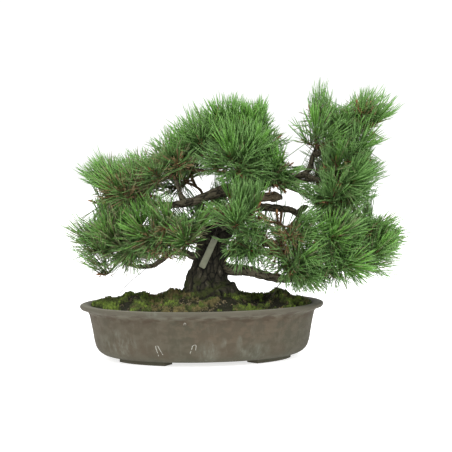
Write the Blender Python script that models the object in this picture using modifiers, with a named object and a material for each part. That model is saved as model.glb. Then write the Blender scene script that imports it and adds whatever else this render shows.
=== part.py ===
# Japanese black pine bonsai, growing in its oval unglazed pot.
# Sizes are in millimetres; a mesh is scaled to metres when it is made.
# The pot's long side runs along X. The tree has a frame of its own: U to its right, D away
# from its front and Z up from the surface under the feet. It is planted turned in the pot.

import math
import random

import bmesh
import bpy
import numpy as np
from mathutils import Matrix, Vector

MM = 0.001
GAP = 0.3

# Pot: half-lengths of the oval at each height, along its long side
RIM_LENGTH = 360.0
RIM_WIDTH = 274.0
POT_HEIGHT = 81.0
FOOT_HEIGHT = 5.0
FLOOR_THICKNESS = 8.0
WALL_THICKNESS = 8.0
LIP_OVERHANG = 13.0
LIP_THICKNESS = 9.0
BASE_HALF = 135.0
POT_SIDES = 40
DRAIN_HOLE_RADIUS = 11.0
DRAIN_HOLE_PLACE = 62.0
FOOT_FROM_DEG = 18.0
FOOT_TO_DEG = 60.0
FOOT_INNER_SHARE = 0.80
FOOT_OUTER_SHARE = 0.985

# Soil: a mossy mound that stands a little above the rim round the tree's foot
SOIL_LEVEL = 95.0
SOIL_EDGE = 77.0
SOIL_PLATEAU = 52.0
SOIL_SIDES = 56
SOIL_FALL = 1.5
MOSS_LUMPS = (
    (-44.0, 12.0, 17.0, 5.0), (-94.0, 10.0, 22.0, 6.0), (-150.0, -6.0, 16.0, 3.0), (66.0, 12.0, 18.0, 3.0),
    (120.0, 18.0, 24.0, 9.0), (150.0, -8.0, 16.0, 4.0), (-122.0, -42.0, 19.0, 4.5), (-84.0, -64.0, 20.0, 5.0),
    (-48.0, -84.0, 17.0, 4.0), (-22.0, -60.0, 19.0, 6.0), (14.0, -92.0, 17.0, 3.5), (38.0, -66.0, 21.0, 6.0),
    (78.0, -78.0, 18.0, 4.0), (104.0, -46.0, 20.0, 5.5), (-104.0, 52.0, 20.0, 5.0), (-58.0, 84.0, 21.0, 5.0),
    (0.0, 80.0, 21.0, 5.5), (54.0, 86.0, 19.0, 4.5), (98.0, 62.0, 21.0, 5.5), (-60.0, 44.0, 18.0, 4.0),
)

# Tree: where its foot stands, and how far it is turned from the pot's long side
FOOT_U = 11.0
TREE_TURN_DEG = -9.0
CROWN_HEART = Vector((60.0, 0.0, 205.0))

# Trunk: centre line (U, D, Z) and radius at each station, from the cut at soil level to its tip
TRUNK_STATIONS = (
    ((11.0, 0.0, 95.0), 43.0), ((9.0, 0.0, 103.0), 37.0), ((8.0, 0.0, 115.0), 32.0),
    ((10.0, 0.0, 129.0), 27.5), ((12.0, 0.0, 143.0), 24.5), ((14.0, 1.0, 160.0), 22.5),
    ((20.0, 2.0, 178.0), 21.0), ((34.0, 2.0, 196.0), 19.0), ((52.0, 1.0, 212.0), 16.5),
    ((64.0, 0.0, 229.0), 14.0), ((67.0, -1.0, 246.0), 12.5), ((64.0, -1.0, 264.0), 10.8),
    ((60.0, 0.0, 278.0), 8.8), ((56.0, 1.0, 288.0), 6.8), ((53.0, 1.0, 296.0), 5.0),
    ((51.0, 0.0, 302.0), 3.6),
)
TRUNK_SIDES = 16
ROOT_LOBES = 6
ROOT_LOBE_DEPTH = 0.13
ROOT_LOBE_TURN = 0.6
ROOT_FLARE_HEIGHT = 22.0

# Boughs: name, the limb that carries it, its route (U, D, Z), and its radius at root and tip
BOUGHS = (
    ("bough_upper_left", "trunk", 9.4, 2.4, (
        (66, 0, 252), (50, -5, 247), (34, -9, 247), (14, -11, 240), (-14, -12, 230), (-34, -11, 226),
        (-62, -8, 226), (-84, -4, 229), (-104, 0, 233))),
    ("bough_left_riser", "bough_upper_left", 4.4, 2.4, (
        (-25, -11, 228), (-31, -12, 242), (-34, -11, 254), (-38, -10, 262))),
    ("bough_low_left", "trunk", 5.6, 2.0, (
        (6, 0, 149), (-12, -7, 150), (-28, -11, 156), (-44, -12, 155), (-60, -12, 144), (-73, -10, 136),
        (-94, -7, 135), (-110, -3, 139), (-122, 0, 146), (-130, 0, 153))),
    ("bough_upper_right", "trunk", 8.4, 2.4, (
        (63, 0, 268), (84, 4, 264), (105, 5, 262), (126, 3, 262), (147, 0, 267), (159, 0, 277),
        (164, 0, 296), (169, 0, 308), (171, 0, 319))),
    ("bough_right_side", "bough_upper_right", 4.0, 2.0, (
        (166, 0, 297), (182, -3, 304), (198, -5, 311), (212, -5, 318), (220, -5, 325))),
    ("bough_right_middle", "bough_upper_right", 4.4, 2.2, (
        (150, 0, 268), (164, -12, 263), (178, -19, 259), (190, -22, 260))),
    ("bough_mid_right", "trunk", 7.2, 2.3, (
        (58, 0, 220), (76, -6, 221), (103, -9, 220), (132, -11, 216), (145, -11, 208), (160, -10, 204),
        (174, -8, 202), (186, -8, 206), (194, -8, 212))),
    ("bough_low_right", "trunk", 9.4, 2.6, (
        (18, 0, 136), (40, -6, 130), (64, -9, 128), (89, -11, 122), (109, -11, 117), (124, -11, 115),
        (142, -10, 117), (164, -8, 121), (186, -6, 126), (206, -4, 132), (220, -4, 138))),
    ("bough_right_low", "bough_low_right", 4.2, 2.0, (
        (128, -10, 116), (144, 2, 134), (162, 6, 152), (182, 6, 164), (202, 4, 171), (216, 2, 174))),
    ("bough_front", "trunk", 5.4, 2.6, (
        (30, 0, 190), (34, -18, 194), (42, -36, 198), (50, -50, 201))),
    ("bough_back_left", "trunk", 6.4, 2.4, (
        (64, 2, 240), (46, 24, 243), (18, 38, 236), (-16, 46, 227), (-46, 50, 222), (-68, 50, 226))),
    ("bough_back_low", "trunk", 6.0, 2.2, (
        (14, 4, 166), (4, 30, 168), (-14, 50, 168), (-44, 58, 164), (-74, 56, 162))),
    ("bough_back_right", "trunk", 6.4, 2.4, (
        (61, 2, 226), (80, 24, 244), (110, 38, 256), (144, 46, 257), (172, 48, 258))),
    ("bough_back_low_right", "trunk", 5.8, 2.2, (
        (18, 4, 150), (46, 30, 150), (80, 46, 150), (120, 52, 148), (160, 54, 146), (176, 54, 147))),
    ("stub_cut", "bough_mid_right", 4.4, 3.6, (
        (139, -11, 212), (147, -12, 218), (156, -13, 223))),
    ("stub_dead", "trunk", 8.8, 6.4, (
        (68, 0, 237), (86, -6, 236), (104, -10, 236), (119, -12, 235))),
)
BOUGH_STEP = 16.0
BOUGH_SIDES = 6

# Masses of needles: name, limb, how far along it the stem meets it, centre (U, D, Z), tufts
MASSES = (
    ("foliage_apex_top", "trunk", 1.00, (46, 0, 334), 3),
    ("foliage_apex_left", "trunk", 0.90, (2, -12, 314), 3),
    ("foliage_apex_right", "trunk", 0.90, (88, -4, 322), 3),
    ("foliage_apex_front", "trunk", 0.82, (56, -48, 300), 3),
    ("foliage_apex_back", "trunk", 0.84, (48, 50, 306), 3),
    ("foliage_shoulder_left", "trunk", 0.80, (-34, 0, 292), 2),
    ("foliage_shoulder_right", "bough_upper_right", 0.24, (108, -32, 282), 3),
    ("foliage_left_far", "bough_upper_left", 1.00, (-138, 0, 246), 3),
    ("foliage_left_upper", "bough_upper_left", 0.84, (-104, -18, 256), 2),
    ("foliage_left_inner", "bough_left_riser", 1.00, (-60, -14, 282), 3),
    ("foliage_left_back", "bough_back_left", 1.00, (-92, 48, 250), 3),
    ("foliage_back_left_inner", "bough_back_left", 0.60, (-26, 62, 268), 3),
    ("foliage_low_left_tip", "bough_low_left", 1.00, (-146, 0, 178), 3),
    ("foliage_low_left_under", "bough_low_left", 0.88, (-140, -20, 146), 2),
    ("foliage_low_left_mid", "bough_low_left", 0.74, (-110, -24, 180), 3),
    ("foliage_low_left_inner", "bough_low_left", 0.50, (-62, -38, 192), 3),
    ("foliage_low_left_rear", "bough_back_low", 1.00, (-104, 50, 176), 3),
    ("foliage_centre_left", "bough_low_left", 0.26, (-18, -44, 190), 3),
    ("foliage_centre_front", "bough_front", 1.00, (56, -76, 212), 3),
    ("foliage_centre_low", "bough_front", 0.62, (76, -62, 178), 2),
    ("foliage_right_top_left", "bough_upper_right", 1.00, (180, 0, 350), 3),
    ("foliage_right_top_inner", "bough_upper_right", 0.86, (178, -28, 322), 2),
    ("foliage_right_top_end", "bough_right_side", 1.00, (242, -4, 350), 3),
    ("foliage_right_top_low", "bough_right_side", 0.80, (222, -30, 314), 2),
    ("foliage_right_top_back", "bough_right_side", 0.42, (210, 42, 338), 3),
    ("foliage_right_mid_front", "bough_right_middle", 1.00, (206, -38, 270), 3),
    ("foliage_right_mid_low", "bough_mid_right", 1.00, (206, -34, 234), 2),
    ("foliage_right_mid_end", "bough_right_middle", 0.72, (212, 10, 272), 2),
    ("foliage_right_mid_back", "bough_back_right", 1.00, (204, 50, 276), 3),
    ("foliage_right_mid_rear", "bough_back_right", 0.64, (184, 78, 236), 2),
    ("foliage_right_low_upper", "bough_mid_right", 0.78, (190, -44, 190), 2),
    ("foliage_right_low_end", "bough_right_low", 1.00, (246, 0, 190), 3),
    ("foliage_right_low_tip", "bough_low_right", 1.00, (248, -8, 154), 3),
    ("foliage_right_low_front", "bough_low_right", 0.82, (198, -40, 148), 3),
    ("foliage_right_low_inner", "bough_low_right", 0.46, (142, -48, 152), 3),
    ("foliage_centre_right", "bough_mid_right", 0.36, (124, -54, 190), 2),
    ("foliage_right_low_rear", "bough_back_low_right", 1.00, (204, 54, 160), 3),
    ("foliage_rear_low", "bough_back_low_right", 0.52, (104, 84, 168), 2),
    ("foliage_rear_centre", "bough_back_low", 0.34, (8, 84, 196), 3),
)
MASS_SPACE = Vector((64.0, 60.0, 60.0))
HUB_BELOW_CENTRE = 20.0
RISE_OF_MASS = Vector((0.0, 0.0, 0.6))
RISE_OF_TUFT = Vector((0.0, 0.0, 0.6))
STEM_STRAIGHT = 8.0
TWIG_STEP = 24.0
TWIG_SAG = Vector((0.0, 0.0, 2.0))
TUFT_OFFSET = 24.0
TUFT_LEAN_DEG = 46.0
TUFT_CORE = 15.0
CORE_RADIUS = 3.3
STEM_RADIUS = 2.1
TWIG_RADIUS = 1.5
TUFT_SIDES = 5
NEEDLE_LENGTH = 52.0
SHORTEST_NEEDLE = 30.0
NEEDLE_ANGLES_DEG = (100.0, 70.0, 38.0)
NEEDLE_LEVELS = len(NEEDLE_ANGLES_DEG)
NEEDLE_SEAT = 2.0
NEEDLE_ROOT = 2.6
NEEDLE_TIP = 0.1
NEEDLE_CLEARANCE = 0.6
TWIG_CLEARANCE = 1.0

# Label tag: a plain plastic strip that leans on the front of the trunk
TAG_SIZE = (9.6, 1.2, 48.0)
TAG_CENTRE = (10.5, -26.6, 157.0)
TAG_LEAN_DEG = 25.0


def material(name, colour, roughness):
    """One plain finish."""
    finish = bpy.data.materials.new(name)
    finish.use_nodes = True
    shader = finish.node_tree.nodes["Principled BSDF"]
    shader.inputs["Base Color"].default_value = (*colour, 1.0)
    shader.inputs["Roughness"].default_value = roughness
    shader.inputs["Metallic"].default_value = 0.0
    return finish


def new_object(name, mesh, finish, collection):
    """An object for the mesh, in the collection, with its finish."""
    piece = bpy.data.objects.new(name, mesh)
    collection.objects.link(piece)
    if finish is not None:
        mesh.materials.clear()
        mesh.materials.append(finish)
    return piece


def mesh_from_bmesh(name, shape):
    """Turns millimetres into metres and closes the bmesh into a mesh."""
    bmesh.ops.scale(shape, vec=(MM, MM, MM), verts=shape.verts)
    mesh = bpy.data.meshes.new(name)
    shape.to_mesh(mesh)
    shape.free()
    return mesh


def evaluated_mesh(piece):
    """The piece's mesh with its modifiers applied."""
    graph = bpy.context.evaluated_depsgraph_get()
    return bpy.data.meshes.new_from_object(piece.evaluated_get(graph))


def closed(mesh):
    """True where every edge of the mesh has exactly two faces."""
    shape = bmesh.new()
    shape.from_mesh(mesh)
    whole = len(shape.faces) > 0 and all(len(edge.link_faces) == 2 for edge in shape.edges)
    shape.free()
    return whole


def keep_largest_body(mesh):
    """Drops every loose scrap and keeps the body that has the most faces."""
    shape = bmesh.new()
    shape.from_mesh(mesh)
    bmesh.ops.remove_doubles(shape, verts=shape.verts, dist=0.002 * MM)
    bmesh.ops.dissolve_degenerate(shape, edges=shape.edges, dist=0.002 * MM)
    left = set(shape.faces)
    bodies = []
    while left:
        body = {left.pop()}
        front = list(body)
        while front:
            face = front.pop()
            for edge in face.edges:
                for other in edge.link_faces:
                    if other in left:
                        left.remove(other)
                        body.add(other)
                        front.append(other)
        bodies.append(body)
    bodies.sort(key=len)
    scrap = [face for body in bodies[:-1] for face in body]
    bmesh.ops.delete(shape, geom=scrap, context='FACES')
    shape.to_mesh(mesh)
    shape.free()


def combine(piece, others, operation):
    """Joins the others to the piece, or cuts them from it, by one Boolean on a collection."""
    tools = bpy.data.collections.new(piece.name + "_tools")
    bpy.context.scene.collection.children.link(tools)
    for other in others:
        for owner in list(other.users_collection):
            owner.objects.unlink(other)
        tools.objects.link(other)
        other.hide_render = True
        other.display_type = 'WIRE'
    result = None
    for solver in ('EXACT', 'MANIFOLD'):
        joint = piece.modifiers.new("join", 'BOOLEAN')
        joint.operation = operation
        joint.operand_type = 'COLLECTION'
        joint.collection = tools
        joint.solver = solver
        result = evaluated_mesh(piece)
        piece.modifiers.remove(joint)
        keep_largest_body(result)
        if closed(result):
            break
    piece.data = result
    for other in others:
        bpy.data.objects.remove(other)
    bpy.data.collections.remove(tools)


def smooth_route(points, step):
    """Points about one step apart along a smooth curve through the given points."""
    knots = [Vector(point) for point in points]
    ends = [2 * knots[0] - knots[1]] + knots + [2 * knots[-1] - knots[-2]]
    route = []
    for index in range(1, len(ends) - 2):
        before, here, there, after = ends[index - 1:index + 3]
        pieces = max(1, round((there - here).length / step))
        for part in range(pieces):
            t = part / pieces
            route.append(0.5 * (
                2 * here + (there - before) * t
                + (2 * before - 5 * here + 4 * there - after) * t * t
                + (3 * here - before - 3 * there + after) * t ** 3))
    route.append(knots[-1])
    return route


def limb_rings(route, radius_root, radius_tip):
    """(centre, radius) along a limb that tapers evenly with length."""
    lengths = [0.0]
    for here, there in zip(route, route[1:]):
        lengths.append(lengths[-1] + (there - here).length)
    return [
        (centre, radius_root + (radius_tip - radius_root) * length / lengths[-1])
        for centre, length in zip(route, lengths)]


def frames_along(route):
    """A pair of cross directions at each point, carried along the route without twist."""
    tangents = []
    for index in range(len(route)):
        ahead = route[min(index + 1, len(route) - 1)]
        behind = route[max(index - 1, 0)]
        tangents.append((ahead - behind).normalized())
    side = tangents[0].orthogonal().normalized()
    frames = []
    for tangent in tangents:
        side = (side - tangent * side.dot(tangent)).normalized()
        frames.append((side, tangent.cross(side)))
    return frames


def tree_to_pot():
    """Turns the tree's frame into the pot's."""
    return Matrix.Rotation(math.radians(TREE_TURN_DEG), 4, 'Z')


def tube(name, rings, finish, collection):
    """A round tapering limb: a bevelled POLY curve with filled caps, made a welded mesh."""
    curve = bpy.data.curves.new(name, 'CURVE')
    curve.dimensions = '3D'
    curve.bevel_depth = MM
    curve.bevel_resolution = (BOUGH_SIDES - 4) // 2
    curve.use_fill_caps = True
    spline = curve.splines.new('POLY')
    spline.points.add(len(rings) - 1)
    for point, (centre, radius) in zip(spline.points, rings):
        point.co = (*(centre * MM), 1.0)
        point.radius = radius
    holder = bpy.data.objects.new(name + "_curve", curve)
    collection.objects.link(holder)
    mesh = evaluated_mesh(holder)
    bpy.data.objects.remove(holder)
    shape = bmesh.new()
    shape.from_mesh(mesh)
    bmesh.ops.remove_doubles(shape, verts=shape.verts, dist=0.01 * MM)
    bmesh.ops.recalc_face_normals(shape, faces=shape.faces)
    bmesh.ops.transform(shape, matrix=tree_to_pot(), verts=shape.verts)
    shape.to_mesh(mesh)
    shape.free()
    return new_object(name, mesh, finish, collection)


def loft(rings_of_points):
    """A closed bmesh through rings with the same number of points, with flat ends."""
    shape = bmesh.new()
    rings = [[shape.verts.new(point) for point in ring] for ring in rings_of_points]
    count = len(rings[0])
    for lower, upper in zip(rings, rings[1:]):
        for index in range(count):
            following = (index + 1) % count
            shape.faces.new((lower[index], lower[following], upper[following], upper[index]))
    shape.faces.new(list(reversed(rings[0])))
    shape.faces.new(rings[-1])
    shape.normal_update()
    return shape


def make_pot(finish, collection):
    """Oval pot: a turned profile pressed to an oval, four low feet and two drain holes."""
    rim = RIM_LENGTH / 2
    wall = rim - LIP_OVERHANG
    floor = FOOT_HEIGHT + FLOOR_THICKNESS
    under_lip = POT_HEIGHT - LIP_THICKNESS
    profile = (
        (0.0, floor),
        (BASE_HALF - 2.0, floor),
        (wall - 10.0 - WALL_THICKNESS, floor + 9.0),
        (wall - 7.0 - WALL_THICKNESS, 34.0),
        (wall - WALL_THICKNESS, under_lip),
        (wall - 2.0, POT_HEIGHT - 1.0),
        (wall + 1.0, POT_HEIGHT),
        (rim - 2.5, POT_HEIGHT),
        (rim, POT_HEIGHT - 3.0),
        (rim - 1.0, under_lip + 2.0),
        (wall + 2.0, under_lip),
        (wall, under_lip - 3.0),
        (wall - 7.0, 33.0),
        (wall - 10.0, 20.0),
        (wall - 18.5, 9.5),
        (BASE_HALF, FOOT_HEIGHT),
        (0.0, FOOT_HEIGHT),
    )
    outline = bmesh.new()
    corners = [outline.verts.new((x, 0.0, z)) for x, z in profile]
    for here, there in zip(corners, corners[1:]):
        outline.edges.new((here, there))
    pot = new_object("pot", mesh_from_bmesh("pot", outline), finish, collection)
    turn = pot.modifiers.new("turn", 'SCREW')
    turn.steps = POT_SIDES
    turn.render_steps = POT_SIDES
    turn.use_merge_vertices = True
    turn.merge_threshold = 0.00001
    pot.data = evaluated_mesh(pot)
    pot.modifiers.clear()
    pot.data.transform(Matrix.Diagonal((1.0, RIM_WIDTH / RIM_LENGTH, 1.0, 1.0)))
    combine(pot, [make_foot(quarter, collection) for quarter in range(4)], 'UNION')
    combine(pot, [make_drain(side, collection) for side in (-1, 1)], 'DIFFERENCE')
    return pot


def oval_point(half_length, angle, z):
    """A point on an oval of the pot's proportions."""
    return Vector((
        half_length * math.cos(angle), half_length * RIM_WIDTH / RIM_LENGTH * math.sin(angle), z))


def make_foot(quarter, collection):
    """A low foot under one corner: a sector of the base's oval, sunk into the base."""
    start = math.radians(FOOT_FROM_DEG if quarter % 2 == 0 else 90.0 - FOOT_TO_DEG)
    end = math.radians(FOOT_TO_DEG if quarter % 2 == 0 else 90.0 - FOOT_FROM_DEG)
    turn = quarter * math.pi / 2
    steps = 5
    angles = [turn + start + (end - start) * step / steps for step in range(steps + 1)]
    outer = [oval_point(BASE_HALF * FOOT_OUTER_SHARE, angle, 0.0) for angle in angles]
    inner = [oval_point(BASE_HALF * FOOT_INNER_SHARE, angle, 0.0) for angle in reversed(angles)]
    lower = outer + inner
    upper = [point + Vector((0, 0, FOOT_HEIGHT + 2.0)) for point in lower]
    return new_object("foot", mesh_from_bmesh("foot", loft([lower, upper])), None, collection)


def make_drain(side, collection):
    """A cutter for one drain hole through the pot's floor."""
    hole = bmesh.new()
    bmesh.ops.create_cone(
        hole, cap_ends=True, segments=16, radius1=DRAIN_HOLE_RADIUS, radius2=DRAIN_HOLE_RADIUS,
        depth=40.0, matrix=Matrix.Translation((side * DRAIN_HOLE_PLACE, 0.0, FOOT_HEIGHT)))
    return new_object("drain", mesh_from_bmesh("drain", hole), None, collection)


def soil_height(x, y, share):
    """Height of the mound: share is 0 at the trunk's plateau and 1 at the pot's wall."""
    height = SOIL_LEVEL - GAP - 1.0 - (SOIL_LEVEL - 1.0 - SOIL_EDGE) * share ** SOIL_FALL
    for lump_x, lump_y, size, lift in MOSS_LUMPS:
        away = math.hypot(x - lump_x, y - lump_y) / size
        height += lift * math.exp(-away * away) * (1.0 - share ** 4)
    return height


def make_soil(finish, collection):
    """The filled soil: it follows the pot's inner wall and mounds up to the trunk's foot."""
    foot = tree_to_pot() @ Vector((FOOT_U, 0.0, 0.0))
    wall = RIM_LENGTH / 2 - LIP_OVERHANG - WALL_THICKNESS
    walls = (
        (BASE_HALF - 8.0, FOOT_HEIGHT + FLOOR_THICKNESS + GAP),
        (wall - 12.0, FOOT_HEIGHT + FLOOR_THICKNESS + 10.0),
        (wall - 8.5, 34.0),
        (wall - 2.2, SOIL_EDGE - 6.0),
    )
    rings = []
    angles = [2 * math.pi * step / SOIL_SIDES for step in range(SOIL_SIDES)]
    for half, z in walls:
        rings.append([oval_point(half, angle, z) for angle in angles])
    edge = [oval_point(wall - 2.2, angle, 0.0) for angle in angles]
    for share in (1.0, 0.88, 0.74, 0.60, 0.46, 0.32, 0.20, 0.08):
        ring = []
        for angle, rim in zip(angles, edge):
            near = foot + Vector((math.cos(angle), math.sin(angle), 0.0)) * SOIL_PLATEAU
            place = near.lerp(rim, share)
            ring.append(Vector((place.x, place.y, soil_height(place.x, place.y, share))))
        rings.append(ring)
    flat = SOIL_LEVEL - GAP
    for reach in (SOIL_PLATEAU, SOIL_PLATEAU * 0.4):
        rings.append([
            Vector((foot.x + reach * math.cos(angle), foot.y + reach * math.sin(angle), flat))
            for angle in angles])
    return new_object("soil", mesh_from_bmesh("soil", loft(rings)), finish, collection)


def trunk_rings(extra):
    """Rings of points round the trunk, swelled by extra; its foot is lobed by the roots."""
    route = [Vector(centre) for centre, radius in TRUNK_STATIONS]
    foot_z = route[0].z
    rings = []
    radii = [radius for centre, radius in TRUNK_STATIONS]
    for index, (centre, radius) in enumerate(zip(route, radii)):
        ahead = route[min(index + 1, len(route) - 1)]
        behind = route[max(index - 1, 0)]
        tangent = (ahead - behind).normalized() if index > 0 else Vector((0, 0, 1))
        across = Vector((0, 1, 0)).cross(tangent).normalized()
        away = tangent.cross(across)
        flare = math.exp(-(centre.z - foot_z) / ROOT_FLARE_HEIGHT)
        ring = []
        for side in range(TRUNK_SIDES):
            angle = 2 * math.pi * side / TRUNK_SIDES
            lobe = 1.0 + ROOT_LOBE_DEPTH * flare * math.cos(ROOT_LOBES * angle + ROOT_LOBE_TURN)
            reach = radius * lobe + extra
            ring.append(centre + across * (reach * math.cos(angle)) + away * (reach * math.sin(angle)))
        rings.append(ring)
    turn = tree_to_pot()
    return [[turn @ point for point in ring] for ring in rings]


def make_trunk(finish, collection):
    """Trunk with root flare, lean and taper, from a flat cut at soil level to its tip."""
    return new_object("trunk", mesh_from_bmesh("trunk", loft(trunk_rings(0.0))), finish, collection)


def limb_table():
    """(centre, radius) rings of every limb, by name, in the tree's frame."""
    limbs = {"trunk": [(Vector(centre), radius) for centre, radius in TRUNK_STATIONS]}
    for name, carrier, root, tip, points in BOUGHS:
        limbs[name] = limb_rings(smooth_route(points, BOUGH_STEP), root, tip)
    return limbs


def make_boughs(limbs, finish, collection):
    """Every bough, each cut clear of the limb that carries it."""
    for name, carrier, root, tip, points in BOUGHS:
        bough = tube(name, limbs[name], finish, collection)
        if carrier == "trunk":
            mesh = mesh_from_bmesh("clear", loft(trunk_rings(GAP)))
            clear = new_object("clear", mesh, None, collection)
        else:
            swelled = [(centre, radius + GAP) for centre, radius in limbs[carrier]]
            clear = tube("clear", swelled, None, collection)
        combine(bough, [clear], 'DIFFERENCE')


def share_of_space(point, centre):
    """How far the point is from the centre of a mass, 1 at the edge of the mass's space."""
    away = point - centre
    return math.sqrt(sum((away[axis] / MASS_SPACE[axis]) ** 2 for axis in range(3)))


def rods_from(rings):
    """Rows of start, end and both radii for the stretches between rings."""
    return [
        (*here, *there, radius_here, radius_there)
        for (here, radius_here), (there, radius_there) in zip(rings, rings[1:])]


def least_gap(rods, rod):
    """Least clear distance between one tapering rod and a list of tapering rods."""
    if len(rods) == 0:
        return math.inf
    rods = np.asarray(rods)
    p1 = np.array(rod[0:3])
    d1 = np.array(rod[3:6]) - p1
    p2 = rods[:, 0:3]
    d2 = rods[:, 3:6] - p2
    between = p1 - p2
    a = d1 @ d1
    e = np.einsum("ij,ij->i", d2, d2)
    f = np.einsum("ij,ij->i", d2, between)
    c = between @ d1
    b = d2 @ d1
    scale = np.maximum(a * e - b * b, 1e-9)
    s = np.clip((b * f - c * e) / scale, 0.0, 1.0)
    t = np.clip((b * s + f) / np.maximum(e, 1e-9), 0.0, 1.0)
    s = np.clip((b * t - c) / a, 0.0, 1.0)
    nearest = between + s[:, None] * d1 - t[:, None] * d2
    reach = rod[6] + (rod[7] - rod[6]) * s
    other = rods[:, 6] + (rods[:, 7] - rods[:, 6]) * t
    return float(np.min(np.linalg.norm(nearest, axis=1) - reach - other))


def stem_root(limb, share, centre):
    """Where a stem meets its limb 0.3 mm clear: at the tip, or on the side towards the mass."""
    if share >= 1.0:
        tip, radius = limb[-1]
        tangent = (tip - limb[-2][0]).normalized()
        return tip + tangent * (GAP + 0.1), tangent
    index = round(share * (len(limb) - 1))
    middle, radius = limb[index]
    tangent = (limb[index + 1][0] - limb[index - 1][0]).normalized()
    towards = centre - middle
    towards = (towards - tangent * towards.dot(tangent)).normalized()
    return middle + towards * (radius + GAP + 0.1), towards


def grow_mass(index, limbs):
    """The twigs of one mass, by the seeded rule: each is a route, its radii and its axis."""
    name, carrier, share, centre, tufts = MASSES[index]
    chance = random.Random(1000 + index)
    centre = Vector(centre)
    root, leaving = stem_root(limbs[carrier], share, centre)
    outward = (centre - CROWN_HEART).normalized()
    facing = ((centre - root).normalized() + outward + RISE_OF_MASS).normalized()
    hub = centre - facing * HUB_BELOW_CENTRE
    frame_side = facing.orthogonal().normalized()
    frame_up = facing.cross(frame_side)
    first_turn = chance.uniform(0.0, 2 * math.pi)
    twigs = []
    for tuft in range(tufts):
        lean = math.radians(TUFT_LEAN_DEG) * chance.uniform(0.8, 1.2)
        turn = first_turn + tuft * 2 * math.pi / tufts + chance.uniform(-0.35, 0.35)
        direction = (
            facing * math.cos(lean)
            + (frame_side * math.cos(turn) + frame_up * math.sin(turn)) * math.sin(lean))
        base = hub + direction * TUFT_OFFSET * chance.uniform(0.85, 1.15)
        axis = (direction + RISE_OF_TUFT).normalized()
        if tuft == 0:
            bend = root + leaving * STEM_STRAIGHT
            route = smooth_route([root, bend, hub, base], TWIG_STEP)
            twigs.append((route, STEM_RADIUS, TWIG_RADIUS, axis))
        else:
            leader = twigs[0][0]
            fork = leader[-2].lerp(leader[-3], 0.15 + 0.25 * tuft)
            mid = fork.lerp(base, 0.5) - TWIG_SAG
            twigs.append(([fork, mid, base], TWIG_RADIUS, TWIG_RADIUS, axis))
    return twigs


def twig_rings(twig):
    """(centre, radius) from the twig's root to the end of the core that holds its needles."""
    route, radius_root, radius_tip, axis = twig
    rings = limb_rings(route, radius_root, radius_tip)[:-1]
    base = route[-1]
    for level in range(NEEDLE_LEVELS + 1):
        share = level / NEEDLE_LEVELS
        rings.append((base + axis * TUFT_CORE * share, CORE_RADIUS * (1.0 - 0.25 * share)))
    return rings


def needle_roots(twig):
    """Where each needle leaves the core: its place, its way out and its lean from the axis."""
    rings = twig_rings(twig)
    core = [centre for centre, radius in rings[-NEEDLE_LEVELS - 1:]]
    side, up = frames_along([centre for centre, radius in rings])[-1]
    roots = []
    for level, lean_deg in enumerate(NEEDLE_ANGLES_DEG):
        middle = core[level].lerp(core[level + 1], 0.5)
        for face in range(TUFT_SIDES):
            turn = 2 * math.pi * (face + 0.5) / TUFT_SIDES
            roots.append((middle, side, up, turn, lean_deg))
    roots.append((core[-1], side, up, 0.0, 0.0))
    return roots


def needle_tips(twig, centre, chance, solid):
    """The tip of each needle in the order of its root, or None where it has no room."""
    axis = twig[3]
    tips = []
    for root, side, up, turn, lean_deg in needle_roots(twig):
        turn += chance.uniform(-0.3, 0.3)
        lean = math.radians(lean_deg + chance.uniform(-9.0, 9.0))
        length = NEEDLE_LENGTH * chance.uniform(0.86, 1.0)
        out = side * math.cos(turn) + up * math.sin(turn)
        direction = axis * math.cos(lean) + out * math.sin(lean)
        tips.append(fit_needle(root + out * NEEDLE_SEAT, root, direction, length, centre, solid))
    return tips


def fit_needle(start, root, direction, length, centre, solid):
    """The needle's tip if it stays in its mass's space and clear of all else, else None."""
    while share_of_space(root + direction * length, centre) > 1.0:
        length -= 2.0
    if length < SHORTEST_NEEDLE:
        return None
    tip = root + direction * length
    if least_gap(solid, (*start, *tip, NEEDLE_ROOT, NEEDLE_TIP)) < NEEDLE_CLEARANCE:
        return None
    return tip


def twig_mesh(name, twig, tips):
    """A twig and its core as one loft, with a face of the core drawn out to each needle."""
    rings = twig_rings(twig)
    frames = frames_along([centre for centre, radius in rings])
    loops = []
    for (centre, radius), (side, up) in zip(rings, frames):
        loops.append([
            centre + side * (radius * math.cos(2 * math.pi * corner / TUFT_SIDES))
            + up * (radius * math.sin(2 * math.pi * corner / TUFT_SIDES))
            for corner in range(TUFT_SIDES)])
    shape = loft(loops)
    shape.faces.ensure_lookup_table()
    first = (len(rings) - 1 - NEEDLE_LEVELS) * TUFT_SIDES
    sides = shape.faces[first:first + NEEDLE_LEVELS * TUFT_SIDES]
    for face, tip in list(zip([*sides, shape.faces[-1]], tips)):
        if tip is not None:
            poked = bmesh.ops.poke(shape, faces=[face])
            poked["verts"][0].co = tip
    bmesh.ops.transform(shape, matrix=tree_to_pot(), verts=shape.verts)
    bmesh.ops.triangulate(shape, faces=shape.faces)
    return mesh_from_bmesh(name, shape)


def room_for(twig, kept, rods, carrier):
    """True where the twig is clear of other masses and limbs, and its core of its own mass."""
    own = rods_from(twig_rings(twig))
    foreign = [rod for owner, rod in rods if owner != carrier]
    limb = [rod for owner, rod in rods if owner == carrier]
    siblings = [rod for other in kept for rod in rods_from(twig_rings(other))]
    return (
        all(least_gap(foreign, rod) > TWIG_CLEARANCE for rod in own)
        and all(least_gap(limb, rod) > TWIG_CLEARANCE for rod in own[1:])
        and all(least_gap(siblings, rod) > TWIG_CLEARANCE for rod in own[-NEEDLE_LEVELS:]))


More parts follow.
